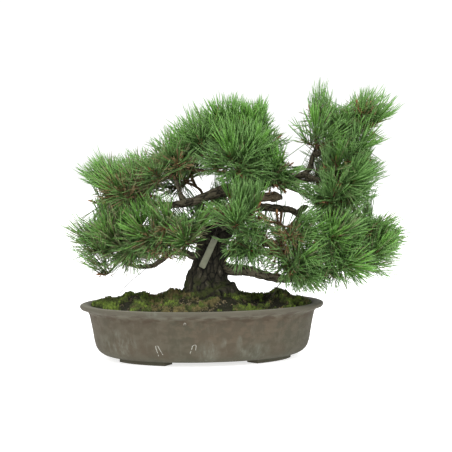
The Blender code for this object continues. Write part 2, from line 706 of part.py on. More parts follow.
def make_foliage(limbs, finish, collection):
    """Every mass: twigs first, then needles in the room that is left, joined to one solid."""
    rods = [(name, rod) for name, rings in limbs.items() for rod in rods_from(rings)]
    grown = []
    for index, (name, carrier, share, centre, tufts) in enumerate(MASSES):
        kept = []
        for twig in grow_mass(index, limbs):
            if room_for(twig, kept, rods, carrier):
                kept.append(twig)
            elif not kept:
                raise ValueError("no room for the stem of " + name)
        rods += [(name, rod) for twig in kept for rod in rods_from(twig_rings(twig))]
        grown.append(kept)
    solid = [rod for owner, rod in rods]
    count = 0
    for index, (name, carrier, share, centre, tufts) in enumerate(MASSES):
        chance = random.Random(5000 + index)
        branches = []
        for twig in grown[index]:
            own = set(rods_from(twig_rings(twig)))
            around = [rod for rod in solid if rod not in own]
            tips = needle_tips(twig, Vector(centre), chance, around)
            for (root, *_), tip in zip(needle_roots(twig), tips):
                if tip is not None:
                    solid.append((*root, *tip, NEEDLE_ROOT, NEEDLE_TIP))
                    count += 1
            mesh = twig_mesh(name, twig, tips)
            branches.append(new_object(name, mesh, finish, collection))
        if len(branches) > 1:
            combine(branches[0], branches[1:], 'UNION')
        branches[0].name = name
        branches[0].data.materials.clear()
        branches[0].data.materials.append(finish)
    print("tufts", sum(len(twigs) for twigs in grown), "needles", count)


def make_tag(finish, collection):
    """A plain plastic strip that leans on the front of the trunk."""
    strip = bmesh.new()
    bmesh.ops.create_cube(strip, size=1.0)
    bmesh.ops.scale(strip, vec=TAG_SIZE, verts=strip.verts)
    lean = Matrix.Rotation(math.radians(TAG_LEAN_DEG), 4, 'Y')
    place = tree_to_pot() @ Matrix.Translation(TAG_CENTRE) @ lean
    bmesh.ops.transform(strip, matrix=place, verts=strip.verts)
    return new_object("label_tag", mesh_from_bmesh("label_tag", strip), finish, collection)


def centre_on_origin(collection):
    """Moves everything so that the middle of the whole box's floor is the origin."""
    low = [math.inf, math.inf]
    high = [-math.inf, -math.inf]
    for piece in collection.objects:
        for vertex in piece.data.vertices:
            for axis in (0, 1):
                low[axis] = min(low[axis], vertex.co[axis])
                high[axis] = max(high[axis], vertex.co[axis])
    shift = Vector((-(low[0] + high[0]) / 2, -(low[1] + high[1]) / 2, 0.0))
    for piece in collection.objects:
        piece.data.transform(Matrix.Translation(shift))
    print("shift", [round(value / MM, 2) for value in shift])


def main():
    """Builds the whole bonsai."""
    for piece in list(bpy.data.objects):
        bpy.data.objects.remove(piece)
    bonsai = bpy.data.collections.new("bonsai")
    bpy.context.scene.collection.children.link(bonsai)
    clay = material("clay", (0.157, 0.130, 0.093), 0.8)
    ground = material("ground", (0.060, 0.065, 0.025), 0.95)
    bark = material("bark", (0.035, 0.032, 0.024), 0.9)
    needle = material("needle", (0.085, 0.170, 0.045), 0.55)
    plastic = material("plastic", (0.30, 0.31, 0.22), 0.5)
    limbs = limb_table()
    make_pot(clay, bonsai)
    make_soil(ground, bonsai)
    make_trunk(bark, bonsai)
    make_boughs(limbs, bark, bonsai)
    make_foliage(limbs, needle, bonsai)
    make_tag(plastic, bonsai)
    centre_on_origin(bonsai)


main()
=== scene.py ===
# %% [markdown]
# # A black pine bonsai in its oval pot
# The solids of the frame give the pot, the soil, the trunk, the boughs and the room that each
# mass of needles keeps to. This lesson dresses them: clay with lime marks, a mossy mound,
# fissured bark, and some twenty thousand thin needles that grow by one seeded rule.
# The tree could be sculpted by hand, but a rule is shorter, repeats exactly, and can be tuned.

# %% Load the frame
import math
import random

import bmesh
import bpy
import numpy as np
from mathutils import Matrix, Vector


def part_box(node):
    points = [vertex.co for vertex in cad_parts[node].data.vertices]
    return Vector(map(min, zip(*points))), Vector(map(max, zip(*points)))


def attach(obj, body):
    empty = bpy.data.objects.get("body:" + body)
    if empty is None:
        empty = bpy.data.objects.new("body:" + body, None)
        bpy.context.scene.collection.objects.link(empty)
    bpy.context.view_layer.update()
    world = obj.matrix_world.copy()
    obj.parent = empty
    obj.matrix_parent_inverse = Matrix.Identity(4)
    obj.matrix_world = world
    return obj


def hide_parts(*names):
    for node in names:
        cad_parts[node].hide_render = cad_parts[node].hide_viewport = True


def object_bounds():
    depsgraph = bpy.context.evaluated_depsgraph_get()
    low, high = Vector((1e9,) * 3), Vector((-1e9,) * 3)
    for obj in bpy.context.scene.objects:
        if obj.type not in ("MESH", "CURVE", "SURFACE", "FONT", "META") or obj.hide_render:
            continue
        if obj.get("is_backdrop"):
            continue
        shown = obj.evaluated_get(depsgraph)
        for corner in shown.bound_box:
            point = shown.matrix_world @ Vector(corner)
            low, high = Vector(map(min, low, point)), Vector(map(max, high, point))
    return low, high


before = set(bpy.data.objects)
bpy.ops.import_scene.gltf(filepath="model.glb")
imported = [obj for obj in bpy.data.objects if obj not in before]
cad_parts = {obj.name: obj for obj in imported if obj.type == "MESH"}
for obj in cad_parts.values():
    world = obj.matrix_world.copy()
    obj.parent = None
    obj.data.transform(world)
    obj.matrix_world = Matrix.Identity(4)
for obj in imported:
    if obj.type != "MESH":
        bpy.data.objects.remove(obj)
cad_low, cad_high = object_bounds()
MM = 0.001
POT_LOW, POT_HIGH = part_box("pot")
POT_MIDDLE = np.array([(POT_LOW.x + POT_HIGH.x) / 2, (POT_LOW.y + POT_HIGH.y) / 2, 0.0])
print("frame:", len(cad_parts), "solids, pot", [round(v / MM) for v in POT_HIGH - POT_LOW], "mm")

# %% [markdown]
# ## The tree's own axes
# The tree is planted turned by a few degrees to the pot's long side. All its sizes are given in
# millimetres in a frame of its own: U to the right seen from its front, D away from the viewer
# and Z up from the table. One function turns such points into the frame's metres.

# %% Tree axes
TREE_TURN_DEG = -9.0
FOOT_U = 11.0
CROWN_HEART = Vector((60.0, 0.0, 205.0))
TURN = np.array(Matrix.Rotation(math.radians(TREE_TURN_DEG), 3, 'Z'))


def to_world(points):
    """Tree millimetres to metres: turned about Z, scaled, then moved to the pot's middle."""
    return np.asarray(points, dtype=float) @ TURN.T * MM + POT_MIDDLE


print("the tree's zero lies at", [round(float(v), 3) for v in to_world((0.0, 0.0, 0.0))], "m")

# %% [markdown]
# ## Surfaces from grids
# Every new surface is a function of two parameters: rows run along a path or a profile, and
# columns run round it. The points are one numpy array of rows by columns by three, so the faces
# follow from index arithmetic, and foreach_set hands them to Blender in one go.

# %% Grid helpers


def mesh_from_arrays(name, points, faces, smooth=True):
    """A mesh from an array of points and a list of face arrays, each with its own face size."""
    mesh = bpy.data.meshes.new(name)
    flat = np.concatenate([group.ravel() for group in faces]).astype(np.int32)
    sizes = np.concatenate([np.full(len(group), group.shape[1]) for group in faces])
    starts = np.concatenate([[0], np.cumsum(sizes)[:-1]]).astype(np.int32)
    mesh.vertices.add(len(points))
    mesh.vertices.foreach_set("co", np.asarray(points, dtype=np.float32).ravel())
    mesh.loops.add(len(flat))
    mesh.loops.foreach_set("vertex_index", flat)
    mesh.polygons.add(len(starts))
    mesh.polygons.foreach_set("loop_start", starts)
    mesh.polygons.foreach_set("use_smooth", np.full(len(starts), smooth))
    mesh.update(calc_edges=True)
    mesh.validate()
    return mesh


def tube_faces(count, rows, columns):
    """Quads of many equal tubes at once: row by row, wrapped round the columns."""
    tube = np.arange(count)[:, None, None] * rows * columns
    row = np.arange(rows - 1)[None, :, None] * columns
    column = np.arange(columns)[None, None, :]
    following = (column + 1) % columns
    corners = np.stack(np.broadcast_arrays(
        tube + row + column, tube + row + following,
        tube + row + columns + following, tube + row + columns + column), axis=-1)
    return corners.reshape(-1, 4)


def end_caps(count, rows, columns):
    """One flat face at the first and one at the last row of each tube."""
    tube = np.arange(count)[:, None] * rows * columns
    first = tube + np.arange(columns)[None, ::-1]
    last = tube + (rows - 1) * columns + np.arange(columns)[None, :]
    return np.concatenate([first, last])


def tubes_mesh(name, points, turned=False, smooth=True):
    """Closed tubes from one grid of rows by columns, or many such grids, with points in metres."""
    rows, columns = points.shape[-3:-1]
    count = points.size // (3 * rows * columns)
    faces = [tube_faces(count, rows, columns), end_caps(count, rows, columns)]
    if turned:
        faces = [group[:, ::-1] for group in faces]
    return mesh_from_arrays(name, points.reshape(-1, 3), faces, smooth)


print("a tube of 5 rows by 8 columns has", len(tube_faces(1, 5, 8)), "quads and two caps")

# %% Pieces and their numbers


def add_piece(name, mesh, finish, slot, *stood_for):
    """Puts the mesh in the scene as a piece that rides on the plant and replaces solids."""
    piece = bpy.data.objects.new(name, mesh)
    bpy.context.scene.collection.objects.link(piece)
    mesh.materials.append(finish)
    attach(piece, "root")
    if stood_for:
        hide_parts(*stood_for)
    return piece


def add_attribute(mesh, name, values):
    """A number on each vertex that a material can read."""
    layer = mesh.attributes.new(name, 'FLOAT', 'POINT')
    layer.data.foreach_set("value", np.asarray(values, dtype=np.float32).ravel())


# %% [markdown]
# ## Noise as arrays
# Bark, moss and clay need uneven surfaces. Blender's noise works on one point at a time, so two
# small array versions stand in: smooth noise between random lattice values, and scattered cells,
# whose borders make good fissures and whose middles make good cushions.

# %% Noise


def lattice(corner, seed):
    """A repeatable number from 0 to 1 for each whole-number corner, mixed from its bits."""
    mixed = corner[..., 0] * 73856093 ^ corner[..., 1] * 19349663 ^ corner[..., 2] * 83492791
    mixed = (mixed ^ seed * 7919) & 0xFFFFFFFF
    mixed = (mixed ^ mixed >> 15) * 2246822519 & 0xFFFFFFFF
    mixed = (mixed ^ mixed >> 13) * 3266489917 & 0xFFFFFFFF
    return (mixed ^ mixed >> 16) / 0xFFFFFFFF


def smooth_noise(points, seed):
    """Lattice values blended across each cell by the curve 3t^2 - 2t^3."""
    cell = np.floor(points).astype(np.int64)
    part = points - cell
    blend = part * part * (3.0 - 2.0 * part)
    total = np.zeros(points.shape[:-1])
    for corner in np.ndindex(2, 2, 2):
        offset = np.array(corner)
        weight = np.prod(np.where(offset == 1, blend, 1.0 - blend), axis=-1)
        total += weight * lattice(cell + offset, seed)
    return total


def rough_noise(points, seed, octaves=4):
    """Smooth noise at doubling scales and halving strengths, from 0 to 1."""
    total = np.zeros(points.shape[:-1])
    whole = 0.0
    for octave in range(octaves):
        total += smooth_noise(points * 2 ** octave, seed + octave) * 0.5 ** octave
        whole += 0.5 ** octave
    return total / whole


def cells(points, seed):
    """Distance to the nearest and the second nearest scattered point, and a number per cell."""
    home = np.floor(points).astype(np.int64)
    nearest = np.full(points.shape[:-1], 9.0)
    second = nearest.copy()
    owner = np.zeros(points.shape[:-1])
    for offset in np.ndindex(3, 3, 3):
        corner = home + np.array(offset) - 1
        scattered = np.stack([lattice(corner, seed + axis) for axis in range(3)], axis=-1)
        away = np.linalg.norm(corner + scattered - points, axis=-1)
        closer = away < nearest
        second = np.where(closer, nearest, np.minimum(second, away))
        owner = np.where(closer, lattice(corner, seed + 9), owner)
        nearest = np.where(closer, away, nearest)
    return nearest, second, owner


sample = rough_noise(np.linspace(0.0, 9.0, 300).reshape(-1, 3), 1)
print("noise runs from", round(float(sample.min()), 2), "to", round(float(sample.max()), 2))

# %% [markdown]
# ## The skeleton
# Trunk and boughs are the frame's own: a centre line and a radius at each station. The masses of
# needles grow on from them by the same seeded rule as the frame's solids, so each finer twig
# here starts where a solid one does. The rule is written out again, since this file reads
# nothing but the frame.

# %% Limbs
TRUNK_STATIONS = (
    ((11.0, 0.0, 95.0), 43.0), ((9.0, 0.0, 103.0), 37.0), ((8.0, 0.0, 115.0), 32.0),
    ((10.0, 0.0, 129.0), 27.5), ((12.0, 0.0, 143.0), 24.5), ((14.0, 1.0, 160.0), 22.5),
    ((20.0, 2.0, 178.0), 21.0), ((34.0, 2.0, 196.0), 19.0), ((52.0, 1.0, 212.0), 16.5),
    ((64.0, 0.0, 229.0), 14.0), ((67.0, -1.0, 246.0), 12.5), ((64.0, -1.0, 264.0), 10.8),
    ((60.0, 0.0, 278.0), 8.8), ((56.0, 1.0, 288.0), 6.8), ((53.0, 1.0, 296.0), 5.0),
    ((51.0, 0.0, 302.0), 3.6),
)
BOUGHS = (
    ("bough_upper_left", "trunk", 9.4, 2.4, (
        (66, 0, 252), (50, -5, 247), (34, -9, 247), (14, -11, 240), (-14, -12, 230), (-34, -11, 226),
        (-62, -8, 226), (-84, -4, 229), (-104, 0, 233))),
    ("bough_left_riser", "bough_upper_left", 4.4, 2.4, (
        (-25, -11, 228), (-31, -12, 242), (-34, -11, 254), (-38, -10, 262))),
    ("bough_low_left", "trunk", 5.6, 2.0, (
        (6, 0, 149), (-12, -7, 150), (-28, -11, 156), (-44, -12, 155), (-60, -12, 144), (-73, -10, 136),
        (-94, -7, 135), (-110, -3, 139), (-122, 0, 146), (-130, 0, 153))),
    ("bough_upper_right", "trunk", 8.4, 2.4, (
        (63, 0, 268), (84, 4, 264), (105, 5, 262), (126, 3, 262), (147, 0, 267), (159, 0, 277),
        (164, 0, 296), (169, 0, 308), (171, 0, 319))),
    ("bough_right_side", "bough_upper_right", 4.0, 2.0, (
        (166, 0, 297), (182, -3, 304), (198, -5, 311), (212, -5, 318), (220, -5, 325))),
    ("bough_right_middle", "bough_upper_right", 4.4, 2.2, (
        (150, 0, 268), (164, -12, 263), (178, -19, 259), (190, -22, 260))),
    ("bough_mid_right", "trunk", 7.2, 2.3, (
        (58, 0, 220), (76, -6, 221), (103, -9, 220), (132, -11, 216), (145, -11, 208), (160, -10, 204),
        (174, -8, 202), (186, -8, 206), (194, -8, 212))),
    ("bough_low_right", "trunk", 9.4, 2.6, (
        (18, 0, 136), (40, -6, 130), (64, -9, 128), (89, -11, 122), (109, -11, 117), (124, -11, 115),
        (142, -10, 117), (164, -8, 121), (186, -6, 126), (206, -4, 132), (220, -4, 138))),
    ("bough_right_low", "bough_low_right", 4.2, 2.0, (
        (128, -10, 116), (144, 2, 134), (162, 6, 152), (182, 6, 164), (202, 4, 171), (216, 2, 174))),
    ("bough_front", "trunk", 5.4, 2.6, (
        (30, 0, 190), (34, -18, 194), (42, -36, 198), (50, -50, 201))),
    ("bough_back_left", "trunk", 6.4, 2.4, (
        (64, 2, 240), (46, 24, 243), (18, 38, 236), (-16, 46, 227), (-46, 50, 222), (-68, 50, 226))),
    ("bough_back_low", "trunk", 6.0, 2.2, (
        (14, 4, 166), (4, 30, 168), (-14, 50, 168), (-44, 58, 164), (-74, 56, 162))),
    ("bough_back_right", "trunk", 6.4, 2.4, (
        (61, 2, 226), (80, 24, 244), (110, 38, 256), (144, 46, 257), (172, 48, 258))),
    ("bough_back_low_right", "trunk", 5.8, 2.2, (
        (18, 4, 150), (46, 30, 150), (80, 46, 150), (120, 52, 148), (160, 54, 146), (176, 54, 147))),
    ("stub_cut", "bough_mid_right", 4.4, 3.6, (
        (139, -11, 212), (147, -12, 218), (156, -13, 223))),
    ("stub_dead", "trunk", 8.8, 6.4, (
        (68, 0, 237), (86, -6, 236), (104, -10, 236), (119, -12, 235))),
)
BOUGH_STEP = 16.0


def smooth_route(points, step):
    """Points about one step apart along a smooth curve through the given points."""
    knots = [Vector(point) for point in points]
    ends = [2 * knots[0] - knots[1]] + knots + [2 * knots[-1] - knots[-2]]
    route = []
    for index in range(1, len(ends) - 2):
        before, here, there, after = ends[index - 1:index + 3]
        pieces = max(1, round((there - here).length / step))
        for part in range(pieces):
            t = part / pieces
            route.append(0.5 * (
                2 * here + (there - before) * t
                + (2 * before - 5 * here + 4 * there - after) * t * t
                + (3 * here - before - 3 * there + after) * t ** 3))
    route.append(knots[-1])
    return route


def limb_rings(route, radius_root, radius_tip):
    """(centre, radius) along a limb that tapers evenly with length."""
    lengths = [0.0]
    for here, there in zip(route, route[1:]):
        lengths.append(lengths[-1] + (there - here).length)
    return [
        (centre, radius_root + (radius_tip - radius_root) * length / lengths[-1])
        for centre, length in zip(route, lengths)]


limbs = {"trunk": [(Vector(centre), radius) for centre, radius in TRUNK_STATIONS]}
for name, carrier, root, tip, points in BOUGHS:
    limbs[name] = limb_rings(smooth_route(points, BOUGH_STEP), root, tip)
LIMB_RODS = np.array([
    (*here, *there, radius_here, radius_there)
    for rings in limbs.values()
    for (here, radius_here), (there, radius_there) in zip(rings, rings[1:])])
print("skeleton:", len(limbs), "limbs,", len(LIMB_RODS), "stretches")

# %% [markdown]
# ## Masses and twigs
# Each mass has a stem that leaves its limb, bends towards the middle of its room, and ends in a
# tuft. Other twigs fork from the stem. That much is the frame's. Finer shoots then leave the
# twigs below each tuft, which the solids are too coarse for, and each bears a smaller tuft.

# %% Masses
MASSES = (
    ("foliage_apex_top", "trunk", 1.00, (46, 0, 334), 3),
    ("foliage_apex_left", "trunk", 0.90, (2, -12, 314), 3),
    ("foliage_apex_right", "trunk", 0.90, (88, -4, 322), 3),
    ("foliage_apex_front", "trunk", 0.82, (56, -48, 300), 3),
    ("foliage_apex_back", "trunk", 0.84, (48, 50, 306), 3),
    ("foliage_shoulder_left", "trunk", 0.80, (-34, 0, 292), 2),
    ("foliage_shoulder_right", "bough_upper_right", 0.24, (108, -32, 282), 3),
    ("foliage_left_far", "bough_upper_left", 1.00, (-138, 0, 246), 3),
    ("foliage_left_upper", "bough_upper_left", 0.84, (-104, -18, 256), 2),
    ("foliage_left_inner", "bough_left_riser", 1.00, (-60, -14, 282), 3),
    ("foliage_left_back", "bough_back_left", 1.00, (-92, 48, 250), 3),
    ("foliage_back_left_inner", "bough_back_left", 0.60, (-26, 62, 268), 3),
    ("foliage_low_left_tip", "bough_low_left", 1.00, (-146, 0, 178), 3),
    ("foliage_low_left_under", "bough_low_left", 0.88, (-140, -20, 146), 2),
    ("foliage_low_left_mid", "bough_low_left", 0.74, (-110, -24, 180), 3),
    ("foliage_low_left_inner", "bough_low_left", 0.50, (-62, -38, 192), 3),
    ("foliage_low_left_rear", "bough_back_low", 1.00, (-104, 50, 176), 3),
    ("foliage_centre_left", "bough_low_left", 0.26, (-18, -44, 190), 3),
    ("foliage_centre_front", "bough_front", 1.00, (56, -76, 212), 3),
    ("foliage_centre_low", "bough_front", 0.62, (76, -62, 178), 2),
    ("foliage_right_top_left", "bough_upper_right", 1.00, (180, 0, 350), 3),
    ("foliage_right_top_inner", "bough_upper_right", 0.86, (178, -28, 322), 2),
    ("foliage_right_top_end", "bough_right_side", 1.00, (242, -4, 350), 3),
    ("foliage_right_top_low", "bough_right_side", 0.80, (222, -30, 314), 2),
    ("foliage_right_top_back", "bough_right_side", 0.42, (210, 42, 338), 3),
    ("foliage_right_mid_front", "bough_right_middle", 1.00, (206, -38, 270), 3),
    ("foliage_right_mid_low", "bough_mid_right", 1.00, (206, -34, 234), 2),
    ("foliage_right_mid_end", "bough_right_middle", 0.72, (212, 10, 272), 2),
    ("foliage_right_mid_back", "bough_back_right", 1.00, (204, 50, 276), 3),
    ("foliage_right_mid_rear", "bough_back_right", 0.64, (184, 78, 236), 2),
    ("foliage_right_low_upper", "bough_mid_right", 0.78, (190, -44, 190), 2),
    ("foliage_right_low_end", "bough_right_low", 1.00, (246, 0, 190), 3),
    ("foliage_right_low_tip", "bough_low_right", 1.00, (248, -8, 154), 3),
    ("foliage_right_low_front", "bough_low_right", 0.82, (198, -40, 148), 3),
    ("foliage_right_low_inner", "bough_low_right", 0.46, (142, -48, 152), 3),
    ("foliage_centre_right", "bough_mid_right", 0.36, (124, -54, 190), 2),
    ("foliage_right_low_rear", "bough_back_low_right", 1.00, (204, 54, 160), 3),
    ("foliage_rear_low", "bough_back_low_right", 0.52, (104, 84, 168), 2),
    ("foliage_rear_centre", "bough_back_low", 0.34, (8, 84, 196), 3),
)
REGIONS = {
    "apex": ("foliage_apex", "foliage_shoulder"),
    "left": ("foliage_left", "foliage_back_left"),
    "low_left": ("foliage_low_left", "foliage_centre_left"),
    "centre": ("foliage_centre_front", "foliage_centre_low", "foliage_centre_right", "foliage_rear"),
    "right_top": ("foliage_right_top",),
    "right_middle": ("foliage_right_mid",),
    "right_low": ("foliage_right_low",),
}


def region_of(mass_name):
    """The region of the crown that a mass belongs to."""
    return next(region for region, prefixes in REGIONS.items() if mass_name.startswith(prefixes))


print("masses:", len(MASSES), "with", sum(mass[4] for mass in MASSES), "tufts in", len(REGIONS), "regions")

# %% Growing a mass
MASS_SPACE = Vector((64.0, 60.0, 60.0))
HUB_BELOW_CENTRE = 20.0
RISE_OF_MASS = Vector((0.0, 0.0, 0.6))
RISE_OF_TUFT = Vector((0.0, 0.0, 0.6))
STEM_STRAIGHT = 8.0
TWIG_STEP = 24.0
TWIG_SAG = Vector((0.0, 0.0, 2.0))
TUFT_OFFSET = 24.0
TUFT_LEAN_DEG = 46.0
TUFT_CORE = 15.0
STEM_RADIUS = 2.1
TWIG_RADIUS = 1.5
STEM_GAP = 0.4


def stem_root(limb, share, centre):
    """Where a stem meets its limb: at the tip, or on the side towards the mass."""
    if share >= 1.0:
        tip, radius = limb[-1]
        tangent = (tip - limb[-2][0]).normalized()
        return tip + tangent * STEM_GAP, tangent
    index = round(share * (len(limb) - 1))
    middle, radius = limb[index]
    tangent = (limb[index + 1][0] - limb[index - 1][0]).normalized()
    towards = centre - middle
    towards = (towards - tangent * towards.dot(tangent)).normalized()
    return middle + towards * (radius + STEM_GAP), towards


def grow_mass(index):
    """The twigs of one mass by the seeded rule: each is a route, its radii and its axis."""
    name, carrier, share, centre, tufts = MASSES[index]
    chance = random.Random(1000 + index)
    centre = Vector(centre)
    root, leaving = stem_root(limbs[carrier], share, centre)
    outward = (centre - CROWN_HEART).normalized()
    facing = ((centre - root).normalized() + outward + RISE_OF_MASS).normalized()
    hub = centre - facing * HUB_BELOW_CENTRE
    frame_side = facing.orthogonal().normalized()
    frame_up = facing.cross(frame_side)
    first_turn = chance.uniform(0.0, 2 * math.pi)
    twigs = []
    for tuft in range(tufts):
        lean = math.radians(TUFT_LEAN_DEG) * chance.uniform(0.8, 1.2)
        turn = first_turn + tuft * 2 * math.pi / tufts + chance.uniform(-0.35, 0.35)
        direction = (
            facing * math.cos(lean)
            + (frame_side * math.cos(turn) + frame_up * math.sin(turn)) * math.sin(lean))
        base = hub + direction * TUFT_OFFSET * chance.uniform(0.85, 1.15)
        axis = (direction + RISE_OF_TUFT).normalized()
        if tuft == 0:
            bend = root + leaving * STEM_STRAIGHT
            route = smooth_route([root, bend, hub, base], TWIG_STEP)
            twigs.append((route, STEM_RADIUS, TWIG_RADIUS, axis))
        else:
            leader = twigs[0][0]
            fork = leader[-2].lerp(leader[-3], 0.15 + 0.25 * tuft)
            mid = fork.lerp(base, 0.5) - TWIG_SAG
            twigs.append(([fork, mid, base], TWIG_RADIUS, TWIG_RADIUS, axis))
    return twigs


print("the first mass has twigs of", [len(twig[0]) for twig in grow_mass(0)], "points")

# %% Room and clearance


def share_of_space(points, centre):
    """How far each point is from the centre of a mass, 1 at the edge of the mass's room."""
    return np.linalg.norm((points - np.array(centre)) / np.array(MASS_SPACE), axis=-1)


def gap_to_limbs(starts, ends, radius):
    """Least clear distance from each straight stretch to all limbs, by clamped closest points."""
    p1 = np.atleast_2d(starts)[:, None, :]
    d1 = np.atleast_2d(ends)[:, None, :] - p1
    p2 = LIMB_RODS[None, :, 0:3]
    d2 = LIMB_RODS[None, :, 3:6] - p2
    between = p1 - p2
    a = np.maximum((d1 * d1).sum(-1), 1e-9)
    e = (d2 * d2).sum(-1)
    f = (d2 * between).sum(-1)
    c = (d1 * between).sum(-1)
    b = (d1 * d2).sum(-1)
    s = np.clip((b * f - c * e) / np.maximum(a * e - b * b, 1e-9), 0.0, 1.0)
    t = np.clip((b * s + f) / e, 0.0, 1.0)
    s = np.clip((b * t - c) / a, 0.0, 1.0)
    nearest = np.linalg.norm(between + s[..., None] * d1 - t[..., None] * d2, axis=-1)
    limb = LIMB_RODS[None, :, 6] + (LIMB_RODS[None, :, 7] - LIMB_RODS[None, :, 6]) * t
    return (nearest - limb - radius).min(axis=1)


print("a mass has room for", list(MASS_SPACE), "mm each way, clear of", len(LIMB_RODS), "stretches of limb")

# %% [markdown]
# ## Where the sky shows
# A bonsai is pruned to an outline, and so that its limbs can be read. All of this is judged from
# the tree's front: the outline is a polygon in the plane of the trunk, some oval openings go right
# through the crown, and in others only the needles before a limb are thinned. A needle that would
# pass the outline is shortened a little or left out, each at its own distance, so that the crown
# thins out at its edge. One whose tip, middle or outer part falls in an opening is left out.

# %% Openings
CROWN_OUTLINE = np.array([
    (-170, 134), (-183, 145), (-185, 156), (-196, 173), (-208, 189), (-204, 206), (-167, 214),
    (-163, 232), (-155, 246), (-171, 260), (-182, 270), (-188, 277), (-177, 286), (-163, 295),
    (-148, 301), (-132, 292), (-117, 292), (-99, 299), (-79, 301), (-64, 317), (-44, 338),
    (-30, 355), (-20, 375), (-4, 380), (15, 383), (33, 391), (50, 397), (62, 388), (74, 368),
    (86, 386), (98, 388), (96, 361), (98, 344), (109, 326), (123, 305), (128, 286), (136, 305),
    (136, 326), (136, 345), (152, 360), (158, 380), (165, 392), (181, 404), (189, 386), (196, 370),
    (211, 367), (221, 375), (231, 383), (243, 389), (265, 389), (283, 376), (292, 361), (274, 347),
    (249, 334), (274, 317), (238, 305), (262, 291), (274, 274), (271, 255), (256, 229), (268, 210),
    (301, 202), (304, 173), (293, 146), (284, 133), (288, 117), (242, 114), (206, 103), (174, 88),
    (136, 87), (121, 108), (89, 118), (56, 128), (36, 134), (9, 149), (-11, 137), (-47, 125),
    (-76, 125), (-123, 125), (-147, 122),
], dtype=float)
SKY_OPENINGS = (
    (-2.0, 249.0, 18.0, 7.0), (-12.0, 265.0, 8.0, 4.0), (-44.0, 259.0, 5.0, 4.0),
    (-18.0, 209.0, 7.0, 3.0), (135.0, 234.0, 11.0, 10.0), (118.0, 199.0, 14.0, 6.0),
    (-22.0, 158.0, 7.0, 5.0), (150.0, 160.0, 8.0, 5.0), (-84.0, 200.0, 9.0, 5.0),
    (208.0, 394.0, 9.0, 16.0), (270.0, 301.0, 16.0, 7.0), (268.0, 225.0, 17.0, 10.0),
    (-172.0, 247.0, 12.0, 7.0), (-172.0, 219.0, 12.0, 7.0), (140.0, 292.0, 10.0, 12.0),
    (108.0, 246.0, 5.0, 4.0), (203.0, 292.0, 18.0, 8.0), (112.0, 172.0, 7.0, 5.0),
    (10.0, 262.0, 6.0, 7.0), (92.0, 187.0, 6.0, 4.0), (94.0, 163.0, 5.0, 4.0),
    (134.0, 307.0, 7.0, 7.0),
)
FRONT_OPENINGS = (
    (14.0, 243.0, 34.0, 9.0), (-24.0, 226.0, 24.0, 8.0), (98.0, 232.0, 28.0, 8.0),
    (158.0, 266.0, 15.0, 9.0), (166.0, 296.0, 9.0, 22.0), (120.0, 213.0, 32.0, 7.0),
    (-58.0, 140.0, 18.0, 5.0), (8.0, 112.0, 32.0, 30.0), (76.0, 114.0, 30.0, 8.0),
    (14.0, 152.0, 12.0, 24.0), (26.0, 184.0, 9.0, 10.0),
)
FRONT_DEPTH = -6.0
AIM_U = 35.8
AIM_Z = 193.2
EYE_RISE_DEG = 3.7
VIEW_RISE = math.tan(math.radians(EYE_RISE_DEG))
VIEW_DISTANCE = 2630.0

print("openings:", len(SKY_OPENINGS), "to the sky,", len(FRONT_OPENINGS), "before limbs")

# %% What an opening hides


def front_view(points):
    """Where points are seen from the front: sideways and upwards in the plane of the trunk."""
    shrink = 1.0 / (1.0 + points[..., 1] / VIEW_DISTANCE)
    across = AIM_U + (points[..., 0] - AIM_U) * shrink
    return across, AIM_Z + (points[..., 2] + points[..., 1] * VIEW_RISE - AIM_Z) * shrink


def in_openings(points, openings):
    """True where a point is seen inside one of the ovals."""
    across, up = front_view(points)
    hit = np.zeros(across.shape, dtype=bool)
    for middle_u, middle_z, half_u, half_z in openings:
        hit |= ((across - middle_u) / half_u) ** 2 + ((up - middle_z) / half_z) ** 2 < 1.0
    return hit


def in_outline(points):
    """True inside the crown's outline: a ray to the right crosses its edges an odd number of times."""
    across, up = front_view(points)
    following = np.roll(CROWN_OUTLINE, -1, axis=0)
    inside = np.zeros(across.shape, dtype=bool)
    for (start_u, start_z), (end_u, end_z) in zip(CROWN_OUTLINE, following):
        if start_z == end_z:
            continue
        crossing = start_u + (up - start_z) * (end_u - start_u) / (end_z - start_z)
        inside ^= ((start_z > up) != (end_z > up)) & (across < crossing)
    return inside


def blocked(points):
    """True where a point would close an opening to the sky, or hide a limb from the front."""
    before_limbs = points[..., 1] < FRONT_DEPTH
    return in_openings(points, SKY_OPENINGS) | (in_openings(points, FRONT_OPENINGS) & before_limbs)


foot_seen = front_view(np.array([FOOT_U, 0.0, 95.0]))
print("the trunk's foot is seen at", [round(float(value), 1) for value in foot_seen], "mm")

# %% [markdown]
# ## Shoots
# A shoot is a route of a few points and the tuft at its end. Main shoots are the frame's twigs.
# Side shoots leave them some way below the tuft. Most turn outward, those of the low masses
# hang, and in some masses a few more are drawn one way, where pruning left a fan. One that
# would leave the mass's room or the outline, crowd a limb or close an opening is skipped.

